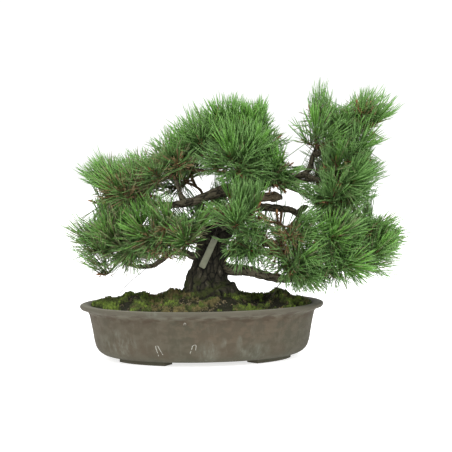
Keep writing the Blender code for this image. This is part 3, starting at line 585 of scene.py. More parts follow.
# %% Shoots
SIDE_SHOOTS = 2
SIDE_LENGTH = (12.0, 25.0)
SIDE_LEAN_DEG = (40.0, 70.0)
SIDE_RADII = (1.2, 1.0)
SIDE_START = 5.0
SIDE_SPACING = 9.0
SIDE_TURN = 2.4
SIDE_CORE = 11.0
SIDE_REACH = 0.72
SIDE_RISE = (-0.5, 0.9)
LOW_SIDE_SHOOTS = 3
LOW_SIDE_RISE = (-1.8, 0.3)
LOW_MASSES = (
    "foliage_centre_low", "foliage_right_low_front", "foliage_right_low_inner", "foliage_centre_left",
    "foliage_low_left_inner", "foliage_low_left_mid", "foliage_rear_low", "foliage_shoulder_right")
SIDE_CLEARANCE = 3.0
SIDE_GIRTH = 2.0
OWN_WAY = 0.7
SHOOT_MARGIN = 14.0
EXTRA_SHOOTS = {
    "foliage_shoulder_right": (5, (0.1, -0.3, -0.9)), "foliage_left_far": (4, (-0.7, 0.0, 0.6)),
    "foliage_left_upper": (3, (-0.2, 0.0, 0.9)), "foliage_right_mid_low": (4, (-0.9, -0.2, 0.1)),
    "foliage_right_low_tip": (3, (0.7, 0.0, -0.2)), "foliage_right_top_end": (3, (0.9, 0.0, 0.1)),
    "foliage_right_mid_end": (3, (0.9, 0.0, -0.1)), "foliage_apex_right": (3, (0.3, 0.0, 0.9)),
    "foliage_low_left_mid": (2, (0.3, -0.4, -0.8)), "foliage_low_left_inner": (3, (0.1, -0.4, -0.8)),
    "foliage_centre_low": (3, (-0.7, 0.1, -0.6)), "foliage_left_back": (2, (-0.7, 0.0, -0.2)),
    "foliage_right_low_front": (2, (0.1, -0.3, -0.8)), "foliage_right_low_inner": (3, (0.0, -0.5, -0.9)),
    "foliage_apex_front": (3, (0.2, -0.2, -0.9)), "foliage_low_left_under": (2, (-0.4, -0.2, -0.8)),
}


def point_back(route, distance):
    """The point on a route that lies a distance back from its end, and the way it runs."""
    for here, there in zip(reversed(route[:-1]), reversed(route[1:])):
        length = (there - here).length
        if length > 1e-6 and distance <= length:
            return there.lerp(here, distance / length), (there - here).normalized()
        distance -= length
    return route[0].copy(), (route[1] - route[0]).normalized()


def side_shoots(route, centre, name, chance):
    """Finer shoots by a seeded rule: each leaves at a slant, and low masses let theirs hang. Extra
    ones are drawn one way: their own heading times OWN_WAY, plus the pull of their mass."""
    grown = []
    turn = chance.uniform(0.0, 2 * math.pi)
    low = name in LOW_MASSES
    count, rise = (LOW_SIDE_SHOOTS, LOW_SIDE_RISE) if low else (SIDE_SHOOTS, SIDE_RISE)
    extra, pull = EXTRA_SHOOTS.get(name, (0, (0.0, 0.0, 0.0)))
    for number in range(count + extra):
        back = SIDE_START + SIDE_SPACING * (number % 4) + chance.uniform(0.0, 6.0)
        start, along = point_back(route, back)
        turn += SIDE_TURN + chance.uniform(-0.4, 0.4)
        lean = math.radians(chance.uniform(*SIDE_LEAN_DEG))
        side = along.orthogonal().normalized()
        across = side * math.cos(turn) + along.cross(side) * math.sin(turn)
        heading = along * math.cos(lean) + across * math.sin(lean)
        if number >= count:
            heading = (heading * OWN_WAY + Vector(pull)).normalized()
        length = chance.uniform(*SIDE_LENGTH)
        end = start + heading * length
        tip_rise = chance.uniform(*rise) if number < count else 0.0
        tip_axis = (heading + RISE_OF_TUFT * tip_rise).normalized()
        tip = np.array(end + tip_axis * SIDE_CORE)
        past = tip + np.array(tip_axis) * SHOOT_MARGIN
        if share_of_space(tip, centre) > SIDE_REACH or blocked(tip) or not in_outline(past):
            continue
        if gap_to_limbs(np.array(end), tip, SIDE_GIRTH).min() < SIDE_CLEARANCE:
            continue
        grown.append(([start, start.lerp(end, 0.5) - TWIG_SAG * 0.5, end], *SIDE_RADII, tip_axis))
    return grown


shoots = []
for index, (name, carrier, share, centre, tufts) in enumerate(MASSES):
    chance = random.Random(3000 + index)
    for main in grow_mass(index):
        grown = [main, *side_shoots(main[0], centre, name, chance)]
        for number, (route, root, tip, axis) in enumerate(grown):
            shoots.append({
                "mass": index, "region": region_of(name), "route": route, "radii": (root, tip),
                "axis": axis, "main": number == 0, "core": SIDE_CORE if number else TUFT_CORE})
print("shoots:", len(shoots), "of which main", sum(shoot["main"] for shoot in shoots))

# %% [markdown]
# ## Colours and finishes
# Colours are given as the eye reads them, from 0 to 255, and turned into the linear values that
# shaders need. What several finishes share is a node group: soft mottling, fine grain for the
# bump, and the chalky arcs that hard water leaves on clay.

# %% Shader tools


def linear(red, green, blue):
    """A colour as read from a screen, as the linear values of a shader."""
    shares = [value / 255.0 for value in (red, green, blue)]
    values = [
        share / 12.92 if share <= 0.04045 else ((share + 0.055) / 1.055) ** 2.4 for share in shares]
    return (*values, 1.0)


def new_group(name, inputs, outputs):
    """An empty shader group with named number inputs and outputs."""
    group = bpy.data.node_groups.new(name, 'ShaderNodeTree')
    for label, value in inputs:
        socket = group.interface.new_socket(label, in_out='INPUT', socket_type='NodeSocketFloat')
        socket.default_value = value
    for label in outputs:
        group.interface.new_socket(label, in_out='OUTPUT', socket_type='NodeSocketFloat')
    return group, group.nodes.new("NodeGroupInput"), group.nodes.new("NodeGroupOutput")


def add_node(tree, kind, **values):
    """A node with some of its settings and unlinked inputs filled in."""
    made = tree.nodes.new(kind)
    for key, value in values.items():
        if key in made.inputs:
            made.inputs[key].default_value = value
        else:
            setattr(made, key, value)
    return made


def feed(tree, socket, value):
    """Fills an input: a socket is linked to it, and a number or a colour is set on it."""
    if isinstance(value, bpy.types.NodeSocket):
        tree.links.new(value, socket)
    else:
        socket.default_value = value


def math_node(tree, operation, first, second=0.0, third=0.0):
    """One sum, product or other operation on values or sockets, and its result."""
    made = add_node(tree, "ShaderNodeMath", operation=operation)
    for socket, value in zip(made.inputs, (first, second, third)):
        feed(tree, socket, value)
    return made.outputs[0]


def product(tree, first, *factors):
    """Several values or sockets multiplied."""
    for factor in factors:
        first = math_node(tree, 'MULTIPLY', first, factor)
    return first


def one_less(tree, value):
    """What is left of 1 when the value is taken away."""
    return math_node(tree, 'SUBTRACT', 1.0, value)


def ramp(tree, value, low, high):
    """Turns the range from low to high into 0 to 1, eased at both ends."""
    made = add_node(tree, "ShaderNodeMapRange", interpolation_type='SMOOTHSTEP')
    for label, given in (("Value", value), ("From Min", low), ("From Max", high)):
        feed(tree, made.inputs[label], given)
    return made.outputs["Result"]


def mix(tree, share, first, second):
    """A colour between two, each a socket or a colour as read from a screen."""
    made = add_node(tree, "ShaderNodeMix", data_type='RGBA')
    feed(tree, made.inputs[0], share)
    for socket, colour in ((made.inputs[6], first), (made.inputs[7], second)):
        feed(tree, socket, colour if isinstance(colour, bpy.types.NodeSocket) else linear(*colour))
    return made.outputs[2]


def object_place(tree):
    """The piece's own coordinates in metres: the point, and its three parts."""
    place = tree.nodes.new("ShaderNodeTexCoord").outputs["Object"]
    parts = tree.nodes.new("ShaderNodeSeparateXYZ")
    tree.links.new(place, parts.inputs[0])
    return place, parts.outputs


print("white is", linear(255, 255, 255)[:3], "and middle grey", round(linear(128, 128, 128)[0], 3))

# %% Mottling and grain


def build_mottle():
    """Soft mottling: noise of a given scale, opened out between two limits."""
    group, given, made = new_group(
        "mottle", (("Scale", 60.0), ("Low", 0.4), ("High", 0.6), ("Stretch", 1.0)), ("Mask",))
    place = group.nodes.new("ShaderNodeTexCoord")
    spread = group.nodes.new("ShaderNodeCombineXYZ")
    for axis in (0, 1):
        spread.inputs[axis].default_value = 1.0
    group.links.new(given.outputs["Stretch"], spread.inputs[2])
    scaled = add_node(group, "ShaderNodeVectorMath", operation='MULTIPLY')
    group.links.new(place.outputs["Object"], scaled.inputs[0])
    group.links.new(spread.outputs[0], scaled.inputs[1])
    noise = add_node(group, "ShaderNodeTexNoise", Detail=5.0, Roughness=0.6)
    group.links.new(scaled.outputs[0], noise.inputs["Vector"])
    group.links.new(given.outputs["Scale"], noise.inputs["Scale"])
    mask = ramp(group, noise.outputs["Fac"], given.outputs["Low"], given.outputs["High"])
    group.links.new(mask, made.inputs["Mask"])
    return group


def build_grain():
    """Fine grain for a bump: two scales of noise added up."""
    group, given, made = new_group("grain", (("Scale", 600.0), ("Coarse", 0.5)), ("Height",))
    place = group.nodes.new("ShaderNodeTexCoord")
    fine = add_node(group, "ShaderNodeTexNoise", Detail=6.0, Roughness=0.7)
    broad = add_node(group, "ShaderNodeTexNoise", Detail=3.0)
    for noise in (fine, broad):
        group.links.new(place.outputs["Object"], noise.inputs["Vector"])
    group.links.new(given.outputs["Scale"], fine.inputs["Scale"])
    group.links.new(product(group, given.outputs["Scale"], 0.15), broad.inputs["Scale"])
    part = product(group, broad.outputs["Fac"], given.outputs["Coarse"])
    group.links.new(math_node(group, 'ADD', fine.outputs["Fac"], part), made.inputs["Height"])
    return group


MOTTLE = build_mottle()
GRAIN = build_grain()
print("groups:", MOTTLE.name, "of", len(MOTTLE.nodes), "nodes,", GRAIN.name, "of", len(GRAIN.nodes))

# %% Lime arc


def build_lime_arc():
    """A chalky arc on the pot's front: a half circle whose two legs lean and spread on their way down."""
    group, given, made = new_group(
        "lime_arc",
        (("Across", 0.0), ("Up", 0.0), ("Radius", 0.004), ("Leg", 0.012), ("Width", 0.0008),
         ("Skew", 0.0), ("Spread", 0.0), ("Right", 1.0)),
        ("Mask",))
    place, (across, depth, height) = object_place(group)
    wobble = add_node(group, "ShaderNodeTexNoise", Scale=260.0, Detail=2.0)
    group.links.new(place, wobble.inputs["Vector"])
    shift = math_node(group, 'MULTIPLY_ADD', wobble.outputs["Fac"], 0.003, -0.0015)
    sideways = math_node(group, 'ADD', math_node(group, 'SUBTRACT', across, given.outputs["Across"]), shift)
    upward = math_node(group, 'SUBTRACT', height, given.outputs["Up"])
    sideways = math_node(group, 'MULTIPLY_ADD', upward, given.outputs["Skew"], sideways)
    above = math_node(group, 'MAXIMUM', upward, 0.0)
    below = math_node(group, 'MAXIMUM', product(group, upward, -1.0), 0.0)
    half = math_node(group, 'MULTIPLY_ADD', below, given.outputs["Spread"], given.outputs["Radius"])
    square = math_node(group, 'MULTIPLY_ADD', above, above, product(group, sideways, sideways))
    away = math_node(group, 'SUBTRACT', math_node(group, 'SQRT', square), half)
    near = one_less(group, ramp(group, math_node(group, 'ABSOLUTE', away), 0.0, given.outputs["Width"]))
    on_right = math_node(group, 'GREATER_THAN', sideways, 0.0)
    left_over = one_less(group, product(group, on_right, one_less(group, given.outputs["Right"])))
    within = math_node(group, 'LESS_THAN', below, product(group, given.outputs["Leg"], left_over))
    front = math_node(group, 'LESS_THAN', depth, 0.0)
    broken = ramp(group, wobble.outputs["Fac"], 0.36, 0.5)
    group.links.new(product(group, near, within, front, broken), made.inputs["Mask"])
    return group


LIME_ARC = build_lime_arc()
print("group:", LIME_ARC.name, "of", len(LIME_ARC.nodes), "nodes")

# %% Starting a finish


def use_group(tree, group, **values):
    """One of the shared groups with its own values, and its only output."""
    made = tree.nodes.new("ShaderNodeGroup")
    made.node_tree = group
    for label, value in values.items():
        made.inputs[label].default_value = value
    return made.outputs[0]


def new_finish(name, roughness, specular=0.5):
    """A material with its shader, ready for its own colour nodes."""
    finish = bpy.data.materials.new(name)
    finish.use_nodes = True
    shader = finish.node_tree.nodes["Principled BSDF"]
    shader.inputs["Roughness"].default_value = roughness
    shader.inputs["Specular IOR Level"].default_value = specular
    return finish, finish.node_tree, shader


def bump_from(tree, shader, height, distance, strength=1.0):
    """A bump of the given depth in metres, fed to the shader's normal."""
    bump = add_node(tree, "ShaderNodeBump", Strength=strength, Distance=distance)
    tree.links.new(height, bump.inputs["Height"])
    tree.links.new(bump.outputs[0], shader.inputs["Normal"])


# %% [markdown]
# ## Bark
# Old pine bark splits into plates. The dark fissures between them are cut deep, and the faces
# of the plates weather to grey-brown flakes. The mesh carries that relief itself: a number on
# each vertex says how high it stands, and the finish lightens it there and darkens the fissures,
# partly as darker bark and partly as painted shade. A flat texture would be quicker, but its
# outline would stay smooth. Near the soil the trunk's bark is green with moss.

# %% Bark finishes
MOSSY_FOOT = (0.098, 0.128)


def attribute_value(tree, name):
    """The number that the mesh holds on each vertex."""
    return add_node(tree, "ShaderNodeAttribute", attribute_name=name).outputs["Fac"]


def bark_finish(name, dark, middle, light, mossy=False):
    """Bark: fissures darker in colour and in painted shade; plates mottled, lightest where they flake; green
    below.
    """
    finish, tree, shader = new_finish(name, 0.9, 0.25)
    relief = attribute_value(tree, "relief")
    flake = use_group(tree, MOTTLE, Scale=170.0, Low=0.46, High=0.66, Stretch=0.5)
    tint = use_group(tree, MOTTLE, Scale=38.0, Low=0.3, High=0.7)
    plate = mix(tree, tint, middle, dark)
    plate = mix(tree, product(tree, flake, ramp(tree, relief, 0.45, 0.9)), plate, light)
    # painted shade in the fissures, with the bark's own darker colour: low relief takes 0.4 of the dark
    # colour
    colour = mix(tree, ramp(tree, relief, 0.05, 0.45), [value * 0.4 for value in dark], plate)
    if mossy:
        low = one_less(tree, ramp(tree, object_place(tree)[1][2], *MOSSY_FOOT))
        moss = product(tree, low, use_group(tree, MOTTLE, Scale=90.0, Low=0.45, High=0.6), 0.8)
        colour = mix(tree, moss, colour, (66, 74, 36))
    tree.links.new(colour, shader.inputs["Base Color"])
    bump_from(tree, shader, use_group(tree, GRAIN, Scale=900.0, Coarse=0.8), 0.0006, 0.8)
    return finish


OLD_BARK = bark_finish("old_bark", (38, 36, 29), (58, 55, 44), (118, 112, 96), mossy=True)
BOUGH_BARK = bark_finish("bough_bark", (80, 75, 60), (106, 99, 82), (150, 142, 122))
DEAD_WOOD = bark_finish("dead_wood", (108, 96, 78), (146, 130, 106), (182, 168, 142))
TWIG_BARK = bark_finish("twig_bark", (88, 72, 54), (116, 94, 70), (144, 120, 90))
print("bark:", [finish.name for finish in (OLD_BARK, BOUGH_BARK, DEAD_WOOD, TWIG_BARK)])

# %% [markdown]
# ## Limbs with relief
# A limb is a circle carried along its centre line. Each row of the grid is one station of the
# route, with two cross directions that are carried along without twist. The radius then gets
# broad swellings, plates and fissures from the noise, and near the soil the lobes of the roots.

# %% Stations along a limb


def stations_along(rings, step):
    """Centres and radii at even steps along a smooth curve through the rings."""
    fine = np.array([tuple(point) for point in smooth_route([centre for centre, radius in rings], 2.0)])
    lengths = np.concatenate([[0.0], np.cumsum(np.linalg.norm(np.diff(fine, axis=0), axis=1))])
    knots = np.array([tuple(centre) for centre, radius in rings])
    spans = np.concatenate([[0.0], np.cumsum(np.linalg.norm(np.diff(knots, axis=0), axis=1))])
    even = np.linspace(0.0, 1.0, max(3, round(lengths[-1] / step)))
    centres = np.stack([np.interp(even * lengths[-1], lengths, fine[:, axis]) for axis in range(3)], -1)
    radii = np.interp(even, spans / spans[-1], [radius for centre, radius in rings])
    return centres, radii, even * lengths[-1]


def cross_frames(centres):
    """Two cross directions at each station, carried along the route without twist."""
    tangents = np.gradient(centres, axis=0)
    tangents /= np.linalg.norm(tangents, axis=1)[:, None]
    side = np.array([0.0, 1.0, 0.0]) if abs(tangents[0][1]) < 0.9 else np.array([1.0, 0.0, 0.0])
    side = np.cross(side, tangents[0])
    sides = []
    for tangent in tangents:
        side = side - tangent * np.dot(side, tangent)
        side = side / np.linalg.norm(side)
        sides.append(side)
    sides = np.array(sides)
    return sides, np.cross(tangents, sides), tangents


def even_angles(count):
    """Angles spread evenly round a full turn."""
    return np.linspace(0.0, 2 * np.pi, count, endpoint=False)


def directions_round(sides, ups, angles):
    """Directions round each station: cos a * side + sin a * up."""
    cosines, sines = np.cos(angles)[None, :, None], np.sin(angles)[None, :, None]
    return cosines * sides[:, None, :] + sines * ups[:, None, :]


print("trunk in 1 mm steps:", len(stations_along(limbs["trunk"], 1.0)[0]), "stations")

# %% Relief of bark


def bark_relief(local, plate, seed):
    """Height of the bark, 0 to 1: plates between deep fissures, with cracks and flakes on them."""
    bend = np.stack([smooth_noise(local / plate * 0.9, seed + axis) for axis in (21, 22, 23)], axis=-1)
    warped = local + 0.7 * plate * bend
    nearest, second, owner = cells(warped / plate * np.array([1.0, 1.0, 0.38]), seed + 5)
    fissure = np.clip((second - nearest) / 0.24, 0.0, 1.0) ** 0.7
    near_crack, next_crack, flake = cells(warped / plate * np.array([2.3, 2.3, 1.2]), seed + 15)
    crack = np.clip((next_crack - near_crack) / 0.2, 0.0, 1.0)
    layers = np.floor(rough_noise(warped / plate * 1.4, seed + 11, 3) * 7.0) / 7.0
    rough = rough_noise(local / plate * 3.5, seed + 31, 3)
    plates = 0.25 + 0.35 * owner + 0.25 * layers + 0.15 * flake
    return np.clip(fissure * plates * (0.7 + 0.3 * crack) + 0.35 * (rough - 0.5), 0.0, 1.0)


sample = bark_relief(np.linspace(0.0, 40.0, 300).reshape(-1, 3), 8.0, 1)
print("bark relief runs from", round(float(sample.min()), 2), "to", round(float(sample.max()), 2))

# %% Limb surfaces
ROOT_LOBES = 5
ROOT_LOBE_DEPTH = 0.13
ROOT_LOBE_TURN = 3.14
ROOT_FLARE_HEIGHT = 22.0
ROOT_SINK = 5.0
BREAK_LENGTH = 1.5
BREAK_KNOB = 0.36


def limb_points(
        rings, step, columns, plate, depth, seed, lobes=False, collar=0.0, knots=0.16, broken=False):
    """Grid of a limb: centre + (cos a * side + sin a * up) * radius, with relief on the radius."""
    centres, radii, lengths = stations_along(rings, step)
    sides, ups, tangents = cross_frames(centres)
    angles = even_angles(columns)
    around = directions_round(sides, ups, angles)
    reach = radii[:, None] * np.ones(columns)[None, :]
    if lobes:
        flare = np.exp(-lengths / ROOT_FLARE_HEIGHT)[:, None]
        reach = reach * (1.0 + ROOT_LOBE_DEPTH * flare * np.cos(ROOT_LOBES * angles + ROOT_LOBE_TURN))
    reach = reach * (1.0 + collar * np.exp(-lengths / (1.6 * radii[0])))[:, None]
    local = np.stack([
        reach * np.cos(angles), reach * np.sin(angles),
        np.broadcast_to(lengths[:, None], reach.shape)], axis=-1)
    swelling = rough_noise(local / (radii.mean() * 1.6), seed, 3) - 0.5
    relief = bark_relief(local, plate, seed)
    reach = reach * (1.0 + knots * swelling) + depth * (relief - 0.5)
    if broken:
        left = (lengths[-1] - lengths) / (BREAK_LENGTH * radii[-1])
        worn = np.sqrt(np.clip(left, 0.03, 1.0))[:, None] ** 0.8
        knob = smooth_noise(local / radii[-1] * 0.8, seed + 62) - 0.5
        splinters = 0.5 * (1.0 - worn) * rough_noise(local / 4.0, seed + 60, 3)
        reach = reach * worn * (1.0 - splinters + BREAK_KNOB * knob)
    points = centres[:, None, :] + around * reach[..., None]
    return points, relief


def limb_piece(name, points, relief, finish, node):
    """A limb's grid as a closed mesh that carries its relief for the finish."""
    mesh = tubes_mesh(name, to_world(points))
    add_attribute(mesh, "relief", relief)
    add_piece(name, mesh, finish, "bark", node)


foot_ring = (limbs["trunk"][0][0] - Vector((0.0, 0.0, ROOT_SINK)), limbs["trunk"][0][1] + 3.0)
trunk_points, trunk_relief = limb_points(
    [foot_ring, *limbs["trunk"]], 1.0, 240, 8.0, 4.6, 400, lobes=True)
limb_piece("trunk_bark", trunk_points, trunk_relief, OLD_BARK, "trunk")
for number, (name, carrier, root, tip, points) in enumerate(BOUGHS):
    dead, broken = name == "stub_dead", name.startswith("stub")
    grid, relief = limb_points(
        limbs[name], 1.3, 36, max(2.4, root * (0.9 if dead else 0.62)), min(2.0, root * 0.32),
        500 + 40 * number, collar=0.0 if broken else 0.45, knots=0.55 if dead else 0.32, broken=broken)
    limb_piece(name + "_bark", grid, relief, DEAD_WOOD if dead else BOUGH_BARK, name)
print("bark: trunk", trunk_points.shape[:2], "and", len(BOUGHS), "limbs")

# %% [markdown]
# ## Twigs
# All twigs of a region are one mesh of equal tubes. Each route is resampled to the same number
# of stations, so the whole region is a single array. The surface has the small collars that
# fallen needles leave, as rings of noise on the radius.

# %% Twig meshes
TWIG_ROWS = 22
TWIG_COLUMNS = 7


def even_stations(points, count):
    """A polyline resampled to a fixed number of evenly spaced points."""
    points = np.array([tuple(point) for point in points])
    lengths = np.concatenate([[0.0], np.cumsum(np.linalg.norm(np.diff(points, axis=0), axis=1))])
    even = np.linspace(0.0, lengths[-1], count)
    return np.stack([np.interp(even, lengths, points[:, axis]) for axis in range(3)], axis=-1)


def twig_grid(shoot, seed):
    """Points and relief of one twig, from its root to the end of its needle-bearing core."""
    end = shoot["route"][-1] + shoot["axis"] * shoot["core"]
    centres = even_stations(smooth_route([*shoot["route"], end], 4.0), TWIG_ROWS)
    sides, ups, tangents = cross_frames(centres)
    angles = even_angles(TWIG_COLUMNS)
    along = np.linspace(0.0, 1.0, TWIG_ROWS)
    radius = shoot["radii"][0] + (shoot["radii"][1] - shoot["radii"][0]) * along
    local = np.stack(np.broadcast_arrays(
        np.cos(angles)[None, :] * 1.2, np.sin(angles)[None, :] * 1.2,
        (along * 24.0)[:, None]), axis=-1)
    relief = rough_noise(local, seed, 2)
    reach = radius[:, None] * (0.8 + 0.5 * relief)
    around = directions_round(sides, ups, angles)
    return centres[:, None, :] + around * reach[..., None], relief


def masses_of(region):
    """The frame's nodes in a region."""
    return [row[0] for row in MASSES if region_of(row[0]) == region]


for region in REGIONS:
    grids = [
        twig_grid(shoot, 900 + number) for number, shoot in enumerate(shoots)
        if shoot["region"] == region]
    mesh = tubes_mesh("twigs_" + region, to_world([grid for grid, relief in grids]))
    add_attribute(mesh, "relief", np.array([relief for grid, relief in grids]))
    add_piece("twigs_" + region, mesh, TWIG_BARK, "bark", *masses_of(region))
print("twigs:", len(shoots), "in", len(REGIONS), "meshes")

# %% [markdown]
# ## Needles
# A black pine bears stiff needles in pairs, packed round the last stretch of a shoot: the lowest
# stand out sideways or droop, the topmost run nearly along the shoot. Each is a three-sided
# blade of one long stretch and a short point, bent a little on its way. All needles of one
# kind in one region are worked out together as arrays.

# %% Needle rule
MOUND_REACH = (176.0, 134.0)
MOUND_TOP = 96.0
BEFORE_THE_RIM = (-105.0, 78.0)
GOLDEN_TURN = math.radians(137.508)
NEEDLE_LENGTH = 61.0
LOWEST_LEAN_DEG = (88.0, 116.0)
LEAN_RANKS = (0.0, 0.14, 0.4, 1.0)
LEANS_DEG = (74.0, 50.0, 6.0)
NEEDLE_PAIRS = 62
SIDE_PAIRS = 34
PAIR_SPREAD = 0.08
TUFT_HINT = (0.0, 1.0, 0.3)
NEEDLE_LIFT = 0.24
LENGTH_BY_RANK = ((0.0, 0.3, 0.8, 1.0), (0.84, 1.0, 1.0, 0.9))
SIDE_LENGTH_SHARE = 0.86
NEEDLE_ROOM = 1.12
SHORTENING = 0.9
SHORTENING_STEPS = 3
RAGGED_EDGE = (-17.0, 22.0)
SHORTEST_SHARE = 0.72
OLD_LENGTHS = {3: 0.84, 4: 0.62}


def cross_pair(axis, hint):
    """Two directions across each axis: axis x hint made a unit, and axis x that."""
    side = np.cross(axis, hint)
    side /= np.linalg.norm(side, axis=-1, keepdims=True)
    return side, np.cross(axis, side)


def needle_points(roots, heading, bends, reach, station=1.0):
    """A point on each needle: root + (heading + bend * station) * reach * station."""
    return roots + (heading + bends * station) * reach[:, None] * station


def tuft_needles(number, shoot):
    """Root, direction, bend, length and kind of each needle of one tuft."""
    chance = np.random.default_rng(7000 + number)
    name, carrier, share, centre, tufts = MASSES[shoot["mass"]]
    pairs = NEEDLE_PAIRS if shoot["main"] else SIDE_PAIRS
    pairs = int(pairs * chance.uniform(0.85, 1.15) * FULLNESS.get(shoot["region"], 1.0))
    axis = np.array(shoot["axis"])
    side, up = cross_pair(axis, TUFT_HINT)
    rank = np.repeat((np.arange(pairs) + 0.5) / pairs, 2)
    twin = np.tile([-1.0, 1.0], pairs)
    turn = np.repeat(np.arange(pairs) * GOLDEN_TURN + chance.normal(0.0, 0.3, pairs), 2)
    widest = chance.uniform(*LOWEST_LEAN_DEG)
    lean = np.interp(rank, LEAN_RANKS, [widest, *LEANS_DEG])
    lean = np.radians(lean + np.repeat(chance.normal(0.0, 6.0, pairs), 2))
    turn = turn + twin * PAIR_SPREAD / np.maximum(np.sin(lean), 0.3)
    out = side * np.cos(turn)[:, None] + up * np.sin(turn)[:, None]
    heading = axis * np.cos(lean)[:, None] + out * np.sin(lean)[:, None]
    heading += twin[:, None] * np.cross(heading, axis) * 0.03
    heading += chance.normal(0.0, 0.03, heading.shape)
    if name not in LOW_MASSES:
        heading[:, 2] += NEEDLE_LIFT
    heading /= np.linalg.norm(heading, axis=1)[:, None]
    base = np.array(shoot["route"][-1])
    roots = base + axis * (shoot["core"] * (1.5 * rank - 0.5))[:, None] + out * 0.8
    lengths = NEEDLE_LENGTH * chance.uniform(0.84, 1.08) * chance.uniform(0.88, 1.05, 2 * pairs)
    lengths *= np.interp(rank, *LENGTH_BY_RANK)
    if not shoot["main"]:
        lengths *= SIDE_LENGTH_SHARE
    kind = needle_kinds(shoot, centre, rank, roots, chance)
    for old, share_left in OLD_LENGTHS.items():
        lengths = np.where(kind == old, lengths * share_left, lengths)
    bends = axis * 0.06 + np.array([0.0, 0.0, 0.03]) + chance.normal(0.0, 0.03, heading.shape)
    nominal = lengths.copy()
    room = NEEDLE_ROOM * chance.uniform(0.86, 1.06, len(lengths))
    ragged = chance.uniform(*RAGGED_EDGE, len(lengths))
    for step in range(SHORTENING_STEPS + 1):
        tips = needle_points(roots, heading, bends, lengths)
        beyond = needle_points(roots, heading, bends, lengths + ragged)
        outside = (share_of_space(tips, centre) > room) | ~in_outline(beyond)
        if step < SHORTENING_STEPS:
            lengths = np.where(outside, lengths * SHORTENING, lengths)
    middles = roots + (heading + bends * 0.5) * lengths[:, None] * 0.55
    outer = needle_points(roots, heading, bends, lengths, 0.8)
    keep = (lengths > nominal * SHORTEST_SHARE) & (share_of_space(tips, centre) < room)
    keep &= in_outline(beyond) & in_outline(middles)
    keep &= ~blocked(tips) & ~blocked(middles) & ~blocked(outer)
    keep &= gap_to_limbs(roots + heading * 3.0, tips, 0.3) > 0.3
    keep &= above_soil(tips)
    return roots[keep], heading[keep], bends[keep], lengths[keep], kind[keep]


def above_soil(points):
    """False where a point would dip into the mound or the pot."""
    over = (points[:, 0] / MOUND_REACH[0]) ** 2 + (points[:, 1] / MOUND_REACH[1]) ** 2 < 1.0
    in_front = (points[:, 1] < BEFORE_THE_RIM[0]) & (points[:, 2] > BEFORE_THE_RIM[1])
    return ~over | (points[:, 2] > MOUND_TOP) | in_front


print("needles:", NEEDLE_LENGTH, "mm long, pairs in main and side tufts:", NEEDLE_PAIRS, SIDE_PAIRS)

# %% Light and age of the needles
# bright, middle and deep are one green in painted light and shade, and partly younger needles; olive and
# brown are older needles
KINDS = ("bright", "middle", "deep", "olive", "brown")
BROWN_SPOTS = (
    (106.0, 172.0, 27.0, 0.72), (96.0, 148.0, 14.0, 0.70), (-100.0, 236.0, 22.0, 0.30),
    (-58.0, 172.0, 20.0, 0.34), (240.0, 346.0, 9.0, 0.34), (-60.0, 240.0, 14.0, 0.30),
    (-38.0, 276.0, 13.0, 0.30), (-128.0, 246.0, 12.0, 0.30),
)
OLD_BY_RANK = ((0.0, 0.3), (0.40, 0.01))
BROWN_BY_RANK = ((0.0, 0.25), (0.06, 0.004))
# The painted light and shade of the needles: thresholds of the light score, and shade on side shoots, by
# height, at the apex and by region
CROWN_RADIUS = 190.0
APEX_LEVEL = 322.0
LIGHT_SPAN = 40.0
BRIGHT_ABOVE = 0.66
MIDDLE_ABOVE = 0.44
SIDE_SHADE = -0.16
HEIGHT_LIGHT = 0.10
APEX_LIGHT = 0.14
FULLNESS = {"right_top": 0.8, "right_low": 0.78, "left": 0.88, "low_left": 0.88}
OLD_SHARE = {"left": 0.18, "low_left": 0.26, "right_low": 0.06}
REGION_LIGHT = {
    "apex": 0.04, "left": 0.03, "low_left": 0.02, "centre": -0.01, "right_top": -0.10,
    "right_middle": -0.24, "right_low": -0.01}


def needle_kinds(shoot, centre, rank, roots, chance):
    """Which colour each needle takes: partly by age, partly as painted light and shade. Its light is a
    sum: how far the shoot points up, how far out its mass lies, chance, its region, its rank in the
    tuft and its height. Bright needles are painted lit, deep ones painted shade, middle ones between.
    Olive and brown ones are drawn last, by rank and place."""
    axis = np.array(shoot["axis"])
    region = shoot["region"]
    outward = min(1.0, np.linalg.norm(np.array(centre) - np.array(CROWN_HEART)) / CROWN_RADIUS)
    light = 0.30 * (0.5 + 0.5 * axis[2]) + 0.25 * outward + 0.30 * chance.uniform(0.0, 1.0)
    light += REGION_LIGHT[region] + (0.03 if shoot["main"] else SIDE_SHADE)
    light = light + 0.46 * (rank - 0.5) + chance.normal(0.0, 0.09, len(rank))
    light += HEIGHT_LIGHT * np.clip((roots[:, 2] - centre[2]) / LIGHT_SPAN, -1.0, 1.0)
    if region == "apex":
        light += APEX_LIGHT * np.clip((roots[:, 2] - APEX_LEVEL) / LIGHT_SPAN, -1.0, 1.0)
    kind = np.where(light > BRIGHT_ABOVE, 0, np.where(light > MIDDLE_ABOVE, 1, 2))
    old_share = OLD_SHARE.get(region, 0.0)
    old = chance.uniform(0.0, 1.0, len(rank)) < np.interp(rank, *OLD_BY_RANK) + old_share
    kind = np.where(old, 3, kind)
    across, height = front_view(roots)
    brown_share = np.interp(rank, *BROWN_BY_RANK)
    for middle_u, middle_z, radius, most in BROWN_SPOTS:
        near = np.hypot(across - middle_u, height - middle_z) < radius
        brown_share = np.where(near & (roots[:, 1] < 10.0), most, brown_share)
    brown = chance.uniform(0.0, 1.0, len(rank)) < brown_share
    return np.where(brown, 4, kind)


print("kinds of needles:", KINDS)

# %% Needle mesh
NEEDLE_RADIUS = 0.61
STATIONS = np.array([0.0, 0.84])
THICKNESS = np.array([0.95, 0.9])


